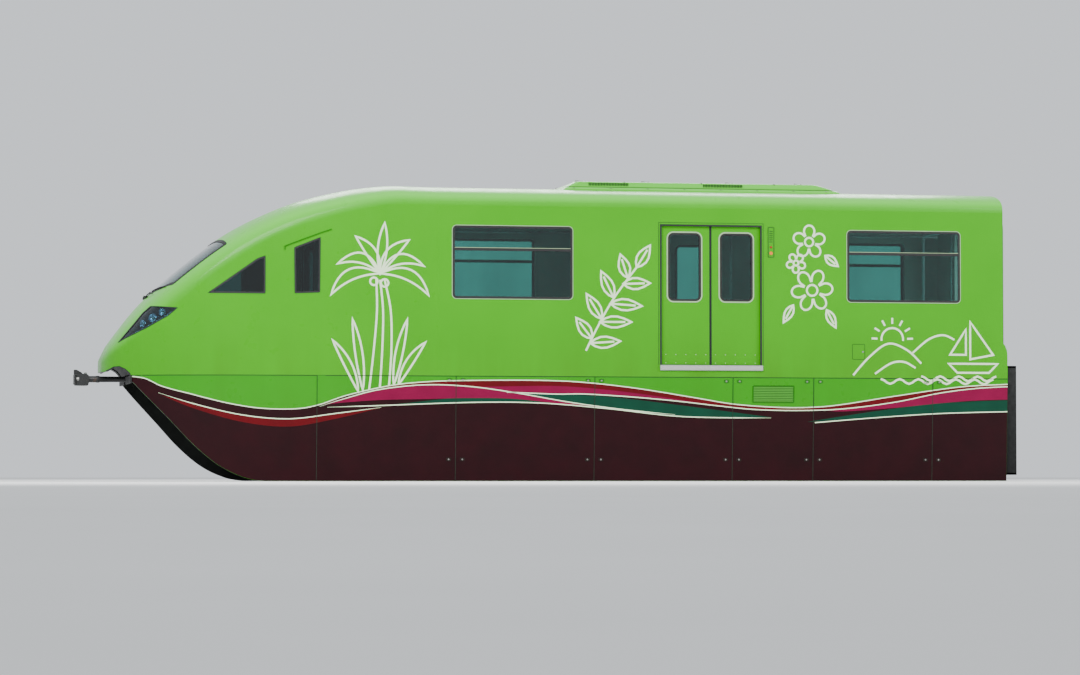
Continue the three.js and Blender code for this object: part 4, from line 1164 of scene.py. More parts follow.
def doorways():
    """The frame of each doorway: a dark seal, the bright sill and its tread strip, and the lamp beside it."""
    x0, x1 = 1.292, 2.68
    box_x, box_z = (2.757, 2.842), (2.05, 2.45)
    for side, sign in SIDES:
        place = on_side(sign)
        seal, sill, lamp = Shape(), Shape(), Shape()
        for off, rise, width, depth in ((0.0, 0.0, 0.022, (-0.012, 0.004)), (0.03, 0.034, 0.006, (-0.001, 0.0015))):
            low, high, top = DOOR_X[0] - off, DOOR_X[1] + off, DOOR_TOP + rise
            seal.ribbon([(low, SILL_Z), (low, top), (high, top), (high, SILL_Z)], width, place, depth)
        seal.piece(f"doorway_seal_{side}", "seal", "rubber")

        profile = [(1.322, 0.545), (1.350, 0.552), (1.356, 0.562), (1.356, 0.612), (1.350, 0.619), (1.322, 0.6195)]
        sill.rings([[(x, sign * y, z) for y, z in profile] for x in (x0, x0 + 0.002, x1 - 0.002, x1)])
        for k in range(4):
            tread = 1.3505 - 0.013 * k
            sill.box((x0 + 0.01, sign * tread, 0.6185), (x1 - 0.01, sign * (tread - 0.005), 0.6205), 0.0008)
        screws(sill, [(x, 0.587) for x in spaced(x0 + 0.06, x1 - 0.06, 8)], upright(sign, 1.356), 0.007)
        sill.piece(f"door_sill_{side}", "sill", "steel")

        outline = rounded_rect(box_x, box_z, 0.012, 4)
        lamp.frame(outline, -0.007, 0.0, place, (-0.001, 0.005))
        lamp.plate(offset_outline(outline, -0.007), place, (-0.001, 0.0015), 1)
        for k in range(6):
            z = 2.25 + 0.028 * k
            lamp.box((box_x[0] + 0.02, sign * 1.3255, z), (box_x[1] - 0.02, sign * 1.329, z + 0.01), 0.001)
        for z, radius, index in ((2.105, 0.024, 2), (2.185, 0.016, 3)):
            dome = [(0.0, 0.0), (radius, 0.0), (radius, 0.008), (radius * 0.8, 0.013), (0.0, 0.015)]
            lamp.turned([(r, sign * h) for r, h in dome], (sum(box_x) / 2, sign * HALF_WIDTH, z), "Y", 20, index=index)
        lamp.piece(f"door_signal_{side}", "seal side_film amber red_lens", "body_paint")


# Fittings on the sides

SKIRT_SEAMS = (-1.42, 0.42, 2.28, 3.38, 5.02)


def side_fittings():
    gx, gz, blades = (2.545, 3.115), (0.13, 0.36), 9  # the grille in the skirt
    crease = [(-5.585, CREASE_Z), *((x, CREASE_Z) for x in spaced(-5.5, -2.0, 35)), (TOE_X - 0.002, CREASE_Z)]
    latches = [(x + dx, z) for z in (CREASE_Z - 0.05, -0.62) for x in SKIRT_SEAMS for dx in (-0.09, 0.09)]
    for side, sign in SIDES:
        place = on_side(sign)
        lines, metal, grille, gutter = Shape(), Shape(), Shape(), Shape()
        line = lambda shape, points, step, *rest: shape.ribbon(dense(points, step, closed=False), *rest)
        line(lines, crease, 0.2, 0.010, place, (-0.002, 0.001))
        for x in (SKIRT_JOINT_X, *SKIRT_SEAMS):
            line(lines, [(x, CREASE_Z - 0.004), (x, SKIRT_Z + 0.004)], 0.3, 0.008, place, (-0.002, 0.0045))
        lines.frame(rounded_rect((3.91, 4.08), (0.71, 0.91), 0.012, 4), -0.003, 0.003, place, (-0.002, 0.001))
        stud = lambda radius, height, spot, segments: metal.turned(
            [(0.0, sign * -0.003), (radius, sign * -0.003), (radius, sign * height), (0.0, sign * (height + 0.001))],
            spot, "Y", segments)
        for x, z in latches:
            rim = rounded_rect((x - 0.028, x + 0.028), (z - 0.018, z + 0.018), 0.008, 3)
            lines.frame(rim, -0.002, 0.002, place, (-0.002, 0.0048))
            stud(0.011, 0.005, place(x, z, 0.0), 14)
        stud(0.012, 0.002, place(4.055, 0.81, 0.0), 16)

        grille.frame(rounded_rect(gx, gz, 0.015, 4), -0.016, 0.0, place, (-0.004, 0.006))
        for k in range(blades):
            z = gz[0] + 0.014 + (gz[1] - gz[0] - 0.03) * (k + 0.5) / blades
            y = side_y(2.8, z)
            section = ((-0.002, 0.010), (0.004, -0.008), (0.0055, -0.008), (0.0, 0.011))
            grille.rings([[(x, sign * (y + dy), z + dz) for dy, dz in section] for x in (gx[0] + 0.014, gx[1] - 0.014)])
        grille.plate(rounded_rect((gx[0] + 0.012, gx[1] - 0.012), (gz[0] + 0.012, gz[1] - 0.012), 0.01, 3), place,
                     (-0.003, 0.0004), 1)
        lines.piece(f"panel_seams_{side}", "seam", "skirt")
        metal.piece(f"panel_latches_{side}", "bolt", "steel")
        grille.piece(f"skirt_grille_{side}", "grille_paint seam", "skirt")

        line(gutter, [(-3.66, 2.118), (-3.62, 2.138), (-3.40, 2.222), (-3.20, 2.298), (-3.052, 2.348)], 0.06, 0.014, place,
             (-0.001, 0.011))
        gutter.ribbon([(-3.655, 2.118), (-3.655, 2.075)], 0.014, place, (-0.001, 0.009))
        gutter.piece(f"cab_window_gutter_{side}", "grille_paint", "body_paint")


def roof_cooler():
    """The air conditioner: a wide tray with a chamfered lid on it, two fans under guards, and louvres."""
    x0, x1, half, lid, ledge, top = 0.095, 3.935, 0.83, 0.77, 2.985, 3.07
    shape = Shape()
    foot = top_z(1.0, half) - 0.06
    tray = (
        # in from the front end and the rear end, half width, height, corner radius
        (0.004, 0.003, half - 0.004, foot, 0.07), (0.002, 0.002, half - 0.002, 2.945, 0.07),
        (0.012, 0.03, half - 0.006, 2.957, 0.07), (0.03, 0.05, half - 0.03, ledge - 0.014, 0.07),
        (0.045, 0.085, half - 0.045, ledge, 0.07), (0.06, 0.1, lid, ledge + 0.002, 0.07),
    )
    cover = (
        (0.075, 0.115, lid - 0.01, ledge - 0.01, 0.07), (0.075, 0.115, lid - 0.01, ledge + 0.012, 0.07),
        (0.085, 0.13, lid - 0.014, ledge + 0.02, 0.075), (0.175, 0.3, lid - 0.034, top - 0.012, 0.09),
        (0.195, 0.33, lid - 0.05, top - 0.003, 0.09), (0.22, 0.36, lid - 0.075, top - 0.001, 0.09),
    )
    for rows in (tray, cover):
        shape.rings([[(x, y, z) for x, y in rounded_rect((x0 + fore, x1 - aft), (-wide, wide), corner, 5)]
                     for fore, aft, wide, z, corner in rows])
    for x in (0.95, 2.0, 3.0):
        shape.box((x - 0.004, -lid + 0.03, top - 0.02), (x + 0.004, lid - 0.03, top + 0.0008), index=1)
    for side in (-1, 1):
        shape.box((x0 + 0.1, side * (lid - 0.004), ledge + 0.002), (x1 - 0.14, side * (lid + 0.004), ledge + 0.008), index=1)
        for x in (0.46 + 0.021 * k + start for k in range(26) for start in (0.0, 1.56)):
            shape.box((x, side * (lid - 0.028), ledge + 0.024), (x + 0.009, side * (lid - 0.012), ledge + 0.066), index=1)
        y = side * (lid - 0.11)
        for x in (0.3, 1.2, 2.35, 3.3):
            handle = ((x, top - 0.01), (x, top + 0.012), (x + 0.09, top + 0.012), (x + 0.09, top - 0.01))
            shape.tube([(a, y, z) for a, z in handle], 0.006, 8, index=3)
    for x in (1.48, 2.5):
        turn = lambda profile, *rest, **more: shape.turned([(r, top + h) for r, h in profile], (x, 0, 0), "Z", *rest, **more)
        turn([(0.31, -0.01), (0.31, 0.006), (0.285, 0.009), (0.275, 0.004), (0.275, -0.01)], 48)
        turn([(0.0, -0.0005), (0.275, -0.0005), (0.275, -0.004), (0.0, -0.004)], 40, index=1)
        for k in range(7):
            low, high = 0.0575 + 0.034 * k, 0.0625 + 0.034 * k
            turn([(low, 0.003), (high, 0.003), (high, 0.007), (low, 0.007)], 40, closed=True, index=3)
        for c, s in circle((0, 0), 1, count=6):
            shape.tube([(x + r * c, r * s, top + 0.0045) for r in (0.05, 0.28)], 0.0035, 6, index=3)
        turn([(0.0, 0.0), (0.06, 0.0), (0.06, 0.007), (0.05, 0.009), (0.0, 0.009)], 24, index=2)
    spots = [(x, side * (half - 0.022)) for side in (-1, 1) for x in (*spaced(0.25, 3.25, 6), 3.7)]
    screws(shape, spots, lambda x, y, depth: (x, y, ledge - 0.011 + depth), 0.011, 0.006, index=3)
    shape.piece("roof_cooler", "body_paint seam grille_paint bolt", "body_paint", angle=30, replaces="roof_air_conditioner")


# Livery: flowing bands along the skirts, and plants, hills and a sun drawn in white lines

FILM = 0.0012  # how far each layer of film stands out from the one below
GREEN_EDGE = [
    (-5.62, 0.452), (-5.5, 0.437), (-5.41, 0.418), (-5.319, 0.374), (-5.228, 0.326), (-5.049, 0.27), (-4.869, 0.225),
    (-4.685, 0.175), (-4.35, 0.095), (-3.95, 0.035), (-3.5, 0.03), (-3.2, 0.085), (-2.85, 0.205), (-2.3, 0.33), (-1.8, 0.385),
    (-1.2, 0.405), (-0.3, 0.41), (0.3, 0.385), (1.0, 0.31), (1.8, 0.187), (2.3, 0.11), (2.9, 0.07), (3.4, 0.075),
    (3.8, 0.115), (4.5, 0.225), (5.39, 0.35), (6.08, 0.39),
]
# Two lines that edge more than one band: the rise to the rear end, and the sweep under the nose
REAR_RISE = [(3.8, 0.055), (4.5, 0.145), (5.1, 0.265), (5.6, 0.33), (6.08, 0.36)]
NOSE_SWEEP = [(-4.8, 0.09), (-4.2, -0.05), (-3.6, -0.1), (-3.0, -0.03), (-2.4, 0.05)]
# Each band: film, layer, top edge and bottom edge. A top edge of None is the edge of the green.
BANDS = [
    ("teal_film", 1.5, [(-2.4, 0.07), (-1.2, 0.20), (-0.3, 0.235), (0.6, 0.2), (1.6, 0.09), (2.8, -0.06)],
     [(-2.4, 0.068), (-1.2, 0.125), (-0.3, 0.12), (0.6, 0.05), (1.6, -0.05), (2.8, -0.062)]),
    ("teal_film", 1.5, [(3.3, -0.12), (4.2, 0.02), (5.1, 0.13), (6.08, 0.18)],
     [(3.3, -0.122), (4.2, -0.06), (5.1, 0.0), (6.08, 0.03)]),
    ("red_film", 1.5, [(-5.2, 0.2), *NOSE_SWEEP],
     [(-5.2, 0.198), (-4.8, 0.03), (-4.2, -0.14), (-3.6, -0.2), (-3.0, -0.1), (-2.4, 0.048)]),
    ("magenta_film", 2.0,
     [(-3.15, 0.085), (-2.9, 0.165), (-2.43, 0.285), (-1.83, 0.345), (-1.23, 0.325), (-0.62, 0.24), (0.1, 0.12), (0.8, 0.04)],
     [(-3.15, 0.083), (-2.9, 0.11), (-2.43, 0.145), (-1.83, 0.16), (-1.23, 0.175), (-0.62, 0.165), (0.1, 0.09), (0.8, 0.038)]),
    ("red_film", 2.4, None,
     [(-2.5, 0.29), (-1.83, 0.345), (-1.23, 0.325), (-0.62, 0.255), (-0.1, 0.232), (0.28, 0.235), (0.9, 0.2),
      (1.5, 0.15), (2.1, 0.085), (2.6, 0.04), (3.2, 0.03), *REAR_RISE]),
    ("magenta_film", 2.8, [(-1.5, 0.33), (-1.0, 0.325), (-0.5, 0.335), (0.0, 0.335), (0.6, 0.29), (1.3, 0.205), (2.0, 0.1)],
     [(-1.5, 0.328), (-1.0, 0.295), (-0.5, 0.245), (0.0, 0.232), (0.6, 0.218), (1.3, 0.17), (2.0, 0.098)]),
    ("magenta_film", 2.8, [(3.5, 0.04), *REAR_RISE],
     [(3.5, 0.038), (3.8, 0.02), (4.5, 0.07), (5.1, 0.13), (5.6, 0.17), (6.08, 0.185)]),
]
# Pale lines along the edges of the bands
PALE_LINES = [
    GREEN_EDGE,
    [(-3.2, 0.06), (-2.9, 0.155), (-2.43, 0.28), (-1.83, 0.345), (-1.23, 0.325), (-0.62, 0.245), (0.1, 0.125), (0.8, 0.035),
     (1.5, -0.03)],
    [(-0.75, 0.255), (-0.1, 0.232), (0.28, 0.235), (0.9, 0.2), (1.5, 0.15), (2.1, 0.085), (2.6, 0.04), (3.2, 0.03), *REAR_RISE],
    [(-3.1, 0.05), (-2.4, 0.075), (-1.2, 0.12), (-0.3, 0.115), (0.6, 0.045), (1.6, -0.055), (2.8, -0.07)],
    [(3.4, -0.13), (4.2, -0.065), (5.1, -0.005), (6.08, 0.025)],
    [(-5.25, 0.235), *NOSE_SWEEP],
]
PALE_HALF = 0.0065  # half the width of a pale line
STROKE = 0.026


def band(shape, top, bottom, span, place, layer, index=0, step=0.05):
    """A film between two heights, from x = span[0] to span[1], broken at the joint of the skirts."""
    for low, high in ((-9.0, SKIRT_JOINT_X - 0.004), (SKIRT_JOINT_X + 0.004, 9.0)):
        start, end = max(low, span[0]), min(high, span[1])
        if end - start < 0.02:
            continue
        rings = []
        for x in spaced(start, end, math.ceil((end - start) / step)):
            upper = top(x)
            lower = min(bottom(x), upper - 0.0015)
            corners = ((upper, -0.001), (lower, -0.001), (lower, FILM * layer), (upper, FILM * layer))
            rings.append([place(x, z, depth) for z, depth in corners])
        shape.rings(rings, index=index)


def livery_bands():
    follow = lambda line: lambda x, points=spline(line, 10): curve_height(points, x)
    edge, nose_foot = follow(GREEN_EDGE), spline(FOOT_LINE, 5)
    foot = lambda x: max(curve_height(nose_foot, x), SKIRT_Z) if x < SKIRT_JOINT_X else SKIRT_Z
    front, back = -5.585, TOE_X - 0.001
    films = ["maroon_film", "magenta_film", "red_film", "teal_film", "white_film"]
    for side, sign in SIDES:
        shape, place = Shape(), on_skirt(sign)
        band(shape, edge, lambda x: foot(x) + 0.002, (front, back), place, 1.0)
        for film, layer, top, bottom in BANDS:
            low, high = follow(bottom), follow(top) if top else edge
            span = (bottom[0][0], min(bottom[-1][0], back))
            band(shape, lambda x: min(high(x), edge(x)), low, span, place, layer, films.index(film), 0.04)
        for line in PALE_LINES:
            middle, start, end = follow(line), max(line[0][0], front), min(line[-1][0], back)
            taper = lambda x: clamp(min(x - start + 0.06, end - x + 0.06) / 0.5, 0.25, 1) if end < back else 1.0
            band(shape, lambda x: middle(x) + PALE_HALF * taper(x), lambda x: middle(x) - PALE_HALF * taper(x),
                 (start, end), place, 3.4, 4, 0.04)
        shape.piece(f"livery_bands_{side}", " ".join(films), "skirt", weld=False)


def crescent(base, tip, rise, belly, steps=12):
    """A closed blade from base to tip between two bows, `rise` and `belly` off the straight line."""
    base, tip = Vector(base), Vector(tip)
    run = tip - base
    up = Vector((-run.y, run.x)).normalized() * (1 if run.x > 0 else -1)
    upper, lower = (bow(base, (base + tip) / 2 + up * height, tip, steps) for height in (rise, belly))
    return upper + lower[-2:0:-1]


def leaf(base, degrees, length, width):
    """A pointed leaf, as its outline and its midrib."""
    along = Vector((math.cos(math.radians(degrees)), math.sin(math.radians(degrees))))
    across = Vector((-along.y, along.x))
    spot = lambda t, out=0.0: tuple(Vector(base) + along * length * t + across * out)
    left, right = ([spot(t, width * side * math.sin(math.pi * t**0.85)) for t in (0.0, 0.15, 0.35, 0.55, 0.75, 0.9, 1.0)]
                   for side in (1, -1))
    return [(left + right[-2:0:-1], True), ([spot(t) for t in (0.0, 0.4, 0.8)], False)]


def blossom(centre, radius, petals, turn):
    """Round petals about an open eye."""
    strokes = [(circle(centre, radius * 0.26, count=16), True)]
    for k in range(petals):
        loop = []
        for t in spaced(0, 1, 14):
            angle = turn + 2 * math.pi * (k + (t - 0.5) * 0.94) / petals
            reach = radius * (0.4 + 0.6 * max(math.sin(math.pi * t), 0.0) ** 0.55)
            loop.append((centre[0] + reach * math.cos(angle), centre[1] + reach * math.sin(angle)))
        strokes.append((loop, False))
    return strokes


def line_drawings():
    """Every stroke of the drawings on one side, as (points, closed)."""
    curves = lambda *lines: [(spline(list(points), 8), False) for points in lines]
    blades = lambda *rows: [(crescent(*row), True) for row in rows]
    crown, sun = (-2.42, 1.78), (4.46, 0.98)

    # A palm behind the cab window: three trunk lines, fronds, nuts and grasses
    strokes = curves(((-2.56, 0.27), (-2.5, 0.8), (-2.46, 1.3), (-2.47, 1.72)),
                     ((-2.42, 0.3), (-2.39, 0.8), (-2.38, 1.3), (-2.42, 1.7)),
                     ((-2.3, 0.33), (-2.27, 0.8), (-2.28, 1.3), (-2.36, 1.7)))
    strokes += blades((crown, (-3.06, 1.5), 0.42, 0.14), (crown, (-2.98, 1.9), 0.42, 0.16), (crown, (-2.74, 2.26), 0.24, -0.02),
                      (crown, (-2.36, 2.44), 0.12, -0.12), (crown, (-2.04, 2.22), 0.26, -0.02),
                      (crown, (-1.84, 1.88), 0.42, 0.16),
                      (crown, (-1.78, 1.5), 0.42, 0.14))
    strokes += [(circle(spot, 0.05, count=12), True) for spot in ((-2.5, 1.68), (-2.36, 1.66))]
    strokes += blades(((-2.7, 0.25), (-3.04, 0.92), 0.17, -0.02), ((-2.64, 0.26), (-2.78, 1.2), 0.13, -0.06),
                      ((-2.18, 0.34), (-1.82, 0.9), 0.17, -0.02), ((-2.24, 0.33), (-2.06, 1.2), 0.13, -0.06))

    # A bough between the front window and the door
    strokes += curves(((0.3, 0.8), (0.46, 1.12), (0.68, 1.5), (0.98, 1.9)))
    for base, degrees, length in (((0.36, 0.9), 4, 0.4), ((0.38, 0.96), 128, 0.34), ((0.49, 1.18), 0, 0.42),
                                  ((0.51, 1.22), 122, 0.38),
                                  ((0.63, 1.42), -4, 0.42), ((0.67, 1.5), 116, 0.38), ((0.8, 1.68), 2, 0.36),
                                  ((0.86, 1.76), 108, 0.32), ((0.98, 1.9), 58, 0.34)):
        strokes += leaf(base, degrees, length, 0.075)

    # Blossoms between the door and the rear window
    strokes += blossom((3.32, 2.26), 0.22, 5, 0.3) + blossom((3.36, 1.62), 0.28, 6, 0.1) + blossom((3.14, 1.98), 0.13, 5, 0.9)
    for base, degrees, length in (((3.54, 2.08), -38, 0.22), ((3.1, 1.42), -120, 0.26), ((3.56, 1.36), -62, 0.26)):
        strokes += leaf(base, degrees, length, 0.055)

    # Hills, a low sun, a sailing boat and water below the rear window
    strokes.append((circle(sun, 0.15, -8, 188, 12), False))
    for ray in spaced(2, 178, 6):
        strokes.append(([circle(sun, r, ray, ray, 1)[0] for r in (0.205, 0.285)], False))
    strokes += curves(((3.92, 0.5), (4.14, 0.74), (4.4, 0.92), (4.66, 0.84), (4.86, 0.66)),
                      ((4.74, 0.8), (4.96, 0.98), (5.16, 1.04), (5.32, 0.98)),
                      ((4.22, 0.52), (4.44, 0.66), (4.62, 0.68), (4.78, 0.6)))
    strokes += [(points, True) for points in (
        [(5.54, 0.72), (5.54, 1.22), (5.86, 0.78)], [(5.48, 0.78), (5.48, 1.12), (5.26, 0.78)],
        [(5.24, 0.66), (5.92, 0.66), (5.8, 0.54), (5.36, 0.54)],
    )]
    for start, height, count in ((4.3, 0.42, 6), (4.86, 0.46, 4)):
        strokes.append(([(start + 0.26 * k / 6, height + 0.032 * math.cos(math.pi * k / 3)) for k in range(6 * count + 1)],
                        False))
    return strokes


def livery_lines():
    """The drawings. Strokes that cross lie at slightly different depths."""
    strokes = line_drawings()
    for side, sign in SIDES:
        shape = Shape()
        for k, (points, closed) in enumerate(strokes):
            shape.ribbon(dense(points, 0.12, closed), STROKE, on_side(sign), (-0.001, FILM + 0.00003 * (k % 37)), closed)
        shape.piece(f"livery_lines_{side}", "white_film", "body_paint", weld=False)


# Interior: cushions, seats, desk, partition and ceiling

BENCHES = {"front": (-3.0797, 0.15, 7), "rear": (2.93, 5.37, 5)}  # from x, to x, places on each side
BACK_TOP = 1.5
SHELL_HALF = [(0.56, 0.986), (0.582, 0.992), (0.59, 1.004), (0.59, 1.024), (0.58, 1.034), (0.562, 1.028), (0.14, 1.016),
              (0.085, 1.024), (0.062, 1.052), (0.018, 1.462), (0.026, 1.474), (0.026, 1.488), (0.016, 1.498), (0.0, BACK_TOP)]
PAD_STEP = 0.019
PAD_WIDTH = 0.452


def pad_lattice(width, depth, thick):
    """A closed pad about the origin: (vertices, faces, indices round the seam, indices of the underside)."""
    across, along = (max(6, round(size / PAD_STEP)) for size in (width, depth))
    ease = lambda k, n: (lambda s: s * (1.22 - 0.22 * s * s))(2 * k / n - 1)
    edge = lambda s: (1 - abs(s) ** 9) ** 0.42
    vertices, at, faces = [], {}, []
    for layer in (1, -1):
        for i in range(across + 1):
            for j in range(along + 1):
                rim = i in (0, across) or j in (0, along)
                if layer < 0 and rim:
                    at[layer, i, j] = at[1, i, j]
                    continue
                u, v = ease(i, across), ease(j, along)
                corner = 1 - 0.035 * (u * v) ** 6
                at[layer, i, j] = len(vertices)
                height = 0.0 if rim else layer * thick / 2 * edge(u) * edge(v)
                vertices.append((u * width / 2 * corner, v * depth / 2 * corner, height))
    for i in range(across):
        for j in range(along):
            for layer, corners in ((1, ((0, 0), (1, 0), (1, 1), (0, 1))), (-1, ((0, 0), (0, 1), (1, 1), (1, 0)))):
                faces.append(tuple(at[layer, i + di, j + dj] for di, dj in corners))
    round_rim = [(i, 0) for i in range(across)] + [(across, j) for j in range(along)]
    round_rim += [(i, along) for i in range(across, 0, -1)] + [(0, j) for j in range(along, 0, -1)]
    under = [at[-1, i, j] for i in range(2, across - 1) for j in range(2, along - 1)]
    return vertices, faces, [at[1, i, j] for i, j in round_rim], under


def stuffed(vertices, faces, under, swell):
    """The pad's vertices after it has been filled: blown up as cloth, no point moving more than `swell`."""
    mesh = bpy.data.meshes.new("stuffing")
    mesh.from_pydata(vertices, [], faces)
    pad = bpy.data.objects.new("stuffing", mesh)
    scene = bpy.context.scene
    scene.collection.objects.link(pad)
    pad.vertex_groups.new(name="held").add(under, 1.0, "REPLACE")
    cloth = pad.modifiers.new("cloth", "CLOTH")
    settings = cloth.settings
    settings.quality = 6
    settings.mass = 0.25
    settings.tension_stiffness = settings.compression_stiffness = settings.shear_stiffness = 18
    settings.bending_stiffness = 0.6
    settings.use_pressure = True
    settings.uniform_pressure_force = 4
    settings.vertex_group_mass = "held"
    settings.effector_weights.gravity = 0
    cloth.point_cache.frame_start, cloth.point_cache.frame_end = 1, 20
    for frame in range(1, 21):
        scene.frame_set(frame)
    blown = pad.evaluated_get(bpy.context.evaluated_depsgraph_get()).to_mesh()
    found = []
    for start, vertex in zip(vertices, blown.vertices):
        move = vertex.co - Vector(start)
        found.append(tuple(Vector(start) + move * min(1.0, swell / max(move.length, 1e-9))))
    scene.frame_set(1)
    bpy.data.objects.remove(pad)
    bpy.data.meshes.remove(mesh)
    return found


def pad(width, depth, thick, swell):
    """One filled pad: vertices, faces and the loop of its seam. Its underside is flat, at height 0."""
    vertices, faces, seam, under = pad_lattice(width, depth, thick)
    vertices = [(x, y, z * (1.0 if z > 0 else 0.35)) for x, y, z in vertices]
    filled = stuffed(vertices, faces, under, swell)
    return [(x, y, z + thick * 0.175) for x, y, z in filled], faces, seam


def cushion(name, made, places, cloth, fill):
    """One cushion from pads sewn side by side. Each place turns a pad's own (x, y, z) into the row frame."""
    vertices, faces, seam = made
    shape = Shape()
    for place in places:
        shape.put([place(*p) for p in vertices], faces)
        shape.tube([place(*vertices[k]) for k in seam[::2]], 0.0032, 6, closed=True, index=1)
    shape.piece(name, f"{cloth} piping", "seat", weld=False, angle=60)


def plinth_panels(shell):
    """The heater plinth below the front bench, with its louvred panels."""
    x0, x1 = -1.9647, 0.15
    shell.box((x0, -0.52, 0.6203), (x1, 0.52, 0.7), 0.0, 2)
    shell.box((x0, -0.56, 0.7), (x1, 0.56, 0.986), 0.006, 1)
    for side, sign in SIDES:
        place = upright(sign, 0.56)
        for k in range(5):
            x = x0 + 0.08 + k * 0.415
            shell.frame(rounded_rect((x, x + 0.3), (0.74, 0.95), 0.02, 3), 0.0, -0.008, place, (-0.001, 0.003), 2)
            for z in spaced(0.77, 0.92, 5):
                shell.plate(rounded_rect((x + 0.03, x + 0.27), (z, z + 0.01), 0.004, 2), place, (-0.001, 0.002), 2)


def benches():
    seat_pad, back_pad = pad(PAD_WIDTH, 0.43, 0.046, 0.014), pad(PAD_WIDTH, 0.385, 0.036, 0.011)
    section = SHELL_HALF + [(-y, z) for y, z in SHELL_HALF[-2::-1]]
    cheek = [(0.592, 0.986), (0.592, 1.06), (0.55, 1.09), (0.3, 1.1), (0.12, 1.18), (0.07, 1.49), (0.03, BACK_TOP)]
    cheek = rounded(cheek + [(-y, z) for y, z in reversed(cheek)], 0.02, 4)
    lean = math.atan2(0.044, 0.41)
    for label, (start, end, count) in BENCHES.items():
        stations = [start + 0.006, *spaced(start, end, 12)[1:-1], end - 0.006]
        shell = Shape().rings([[(x, y, z) for y, z in section] for x in stations])
        for x in (start, end - 0.016):
            shell.plate(cheek, across_car, (x, x + 0.016), 1)
        if label == "front":
            plinth_panels(shell)
        shell.piece(f"bench_shell_{label}", "shell panel dark_lining", "seat", replaces=f"bench_{label}")
        pitch = (end - start - 0.05) / count
        middles = [start + 0.025 + pitch * (k + 0.5) for k in range(count)]
        stretch = (pitch - 0.004) / PAD_WIDTH
        for side, sign in SIDES:
            seats = [lambda x, y, z, m=m: (m + x * stretch, sign * (0.352 + y), 1.0195 + 0.016 * (y / 0.43) + z) for m in middles]
            backs = [lambda x, y, z, m=m: (m + x * stretch, sign * (0.0365 + z * math.cos(lean) - y * math.sin(lean)),
                                           1.275 + y * math.cos(lean) + z * math.sin(lean)) for m in middles]
            cushion(f"seat_cushion_{label}_{side}", seat_pad, seats, "fabric", 0.7)
            cushion(f"back_cushion_{label}_{side}", back_pad, backs, "fabric", 0.6)


def driver_seat():
    post = (-4.72, 0, SILL_Z)
    shape = Shape()
    shape.turned([(0.0, 0.0), (0.16, 0.0), (0.16, 0.012), (0.12, 0.03), (0.075, 0.034), (0.0, 0.034)], post, "Z", 40, index=1)
    folds = [(0.0, 0.034), *((0.082 if k % 2 else 0.066, 0.04 + 0.018 * k) for k in range(15)), (0.0, 0.3)]
    shape.turned(folds, post, "Z", 32, index=2)
    shape.box((-4.92, -0.17, 0.915), (-4.53, 0.17, 0.955), 0.012, 1)
    for y in (-0.16, 0.145):
        shape.box((-4.9, y, 0.95), (-4.56, y + 0.015, 0.975), 0.003, 1)
    pan = [(-4.975, 0.985), (-4.965, 0.968), (-4.6, 0.962), (-4.5, 0.985), (-4.455, 1.1), (-4.4, 1.5), (-4.392, 1.56),
           (-4.41, 1.57),
           (-4.43, 1.5), (-4.48, 1.12), (-4.53, 1.01), (-4.62, 0.99), (-4.96, 1.0)]
    width = lambda z: 0.225 - 0.035 * clamp((z - 1.2) / 0.4)
    wrap = lambda x, z, s: (x - 0.02 * s * s * (z > 1.05), s * width(z), z + 0.012 * s * s * (z <= 1.05))
    shape.rings([[wrap(x, z, s) for x, z in pan] for s in spaced(-1, 1, 12)])
    for y in (-0.05, 0.05):
        shape.tube([(-4.43, y, 1.48), (-4.418, y, 1.68)], 0.007, 10, index=1)
    shape.tube([(-4.87, -0.19, 0.985), (-4.97, -0.2, 0.95), (-4.975, -0.12, 0.945)], 0.007, 10, index=1)
    shape.piece("driver_seat_frame", "shell coupler rubber", "seat", replaces="driver_seat")

    lean = math.atan2(0.075, 0.45)
    seat = lambda x, y, z: (-4.752 + y, x, 1.004 + 0.02 * (-y / 0.4) + z)
    leant = lambda x0, z0, x, y, z: (x0 + math.sin(lean) * y - math.cos(lean) * z, x,
                                     z0 + math.cos(lean) * y + math.sin(lean) * z)
    back = lambda x, y, z: leant(-4.452, 1.305, x * (1 - 0.1 * (y / 0.45 + 0.5)), y, z)
    head = lambda x, y, z: leant(-4.425, 1.7, x, y, z)
    for label, size, place, fill in (("seat", (0.43, 0.4, 0.06, 0.014), seat, 0.7),
                                     ("back", (0.4, 0.45, 0.055, 0.014), back, 0.65),
                                     ("head", (0.25, 0.15, 0.06, 0.01), head, 0.75)):
        cushion(f"driver_{label}_pad", pad(*size), [place], "driver_fabric", fill)


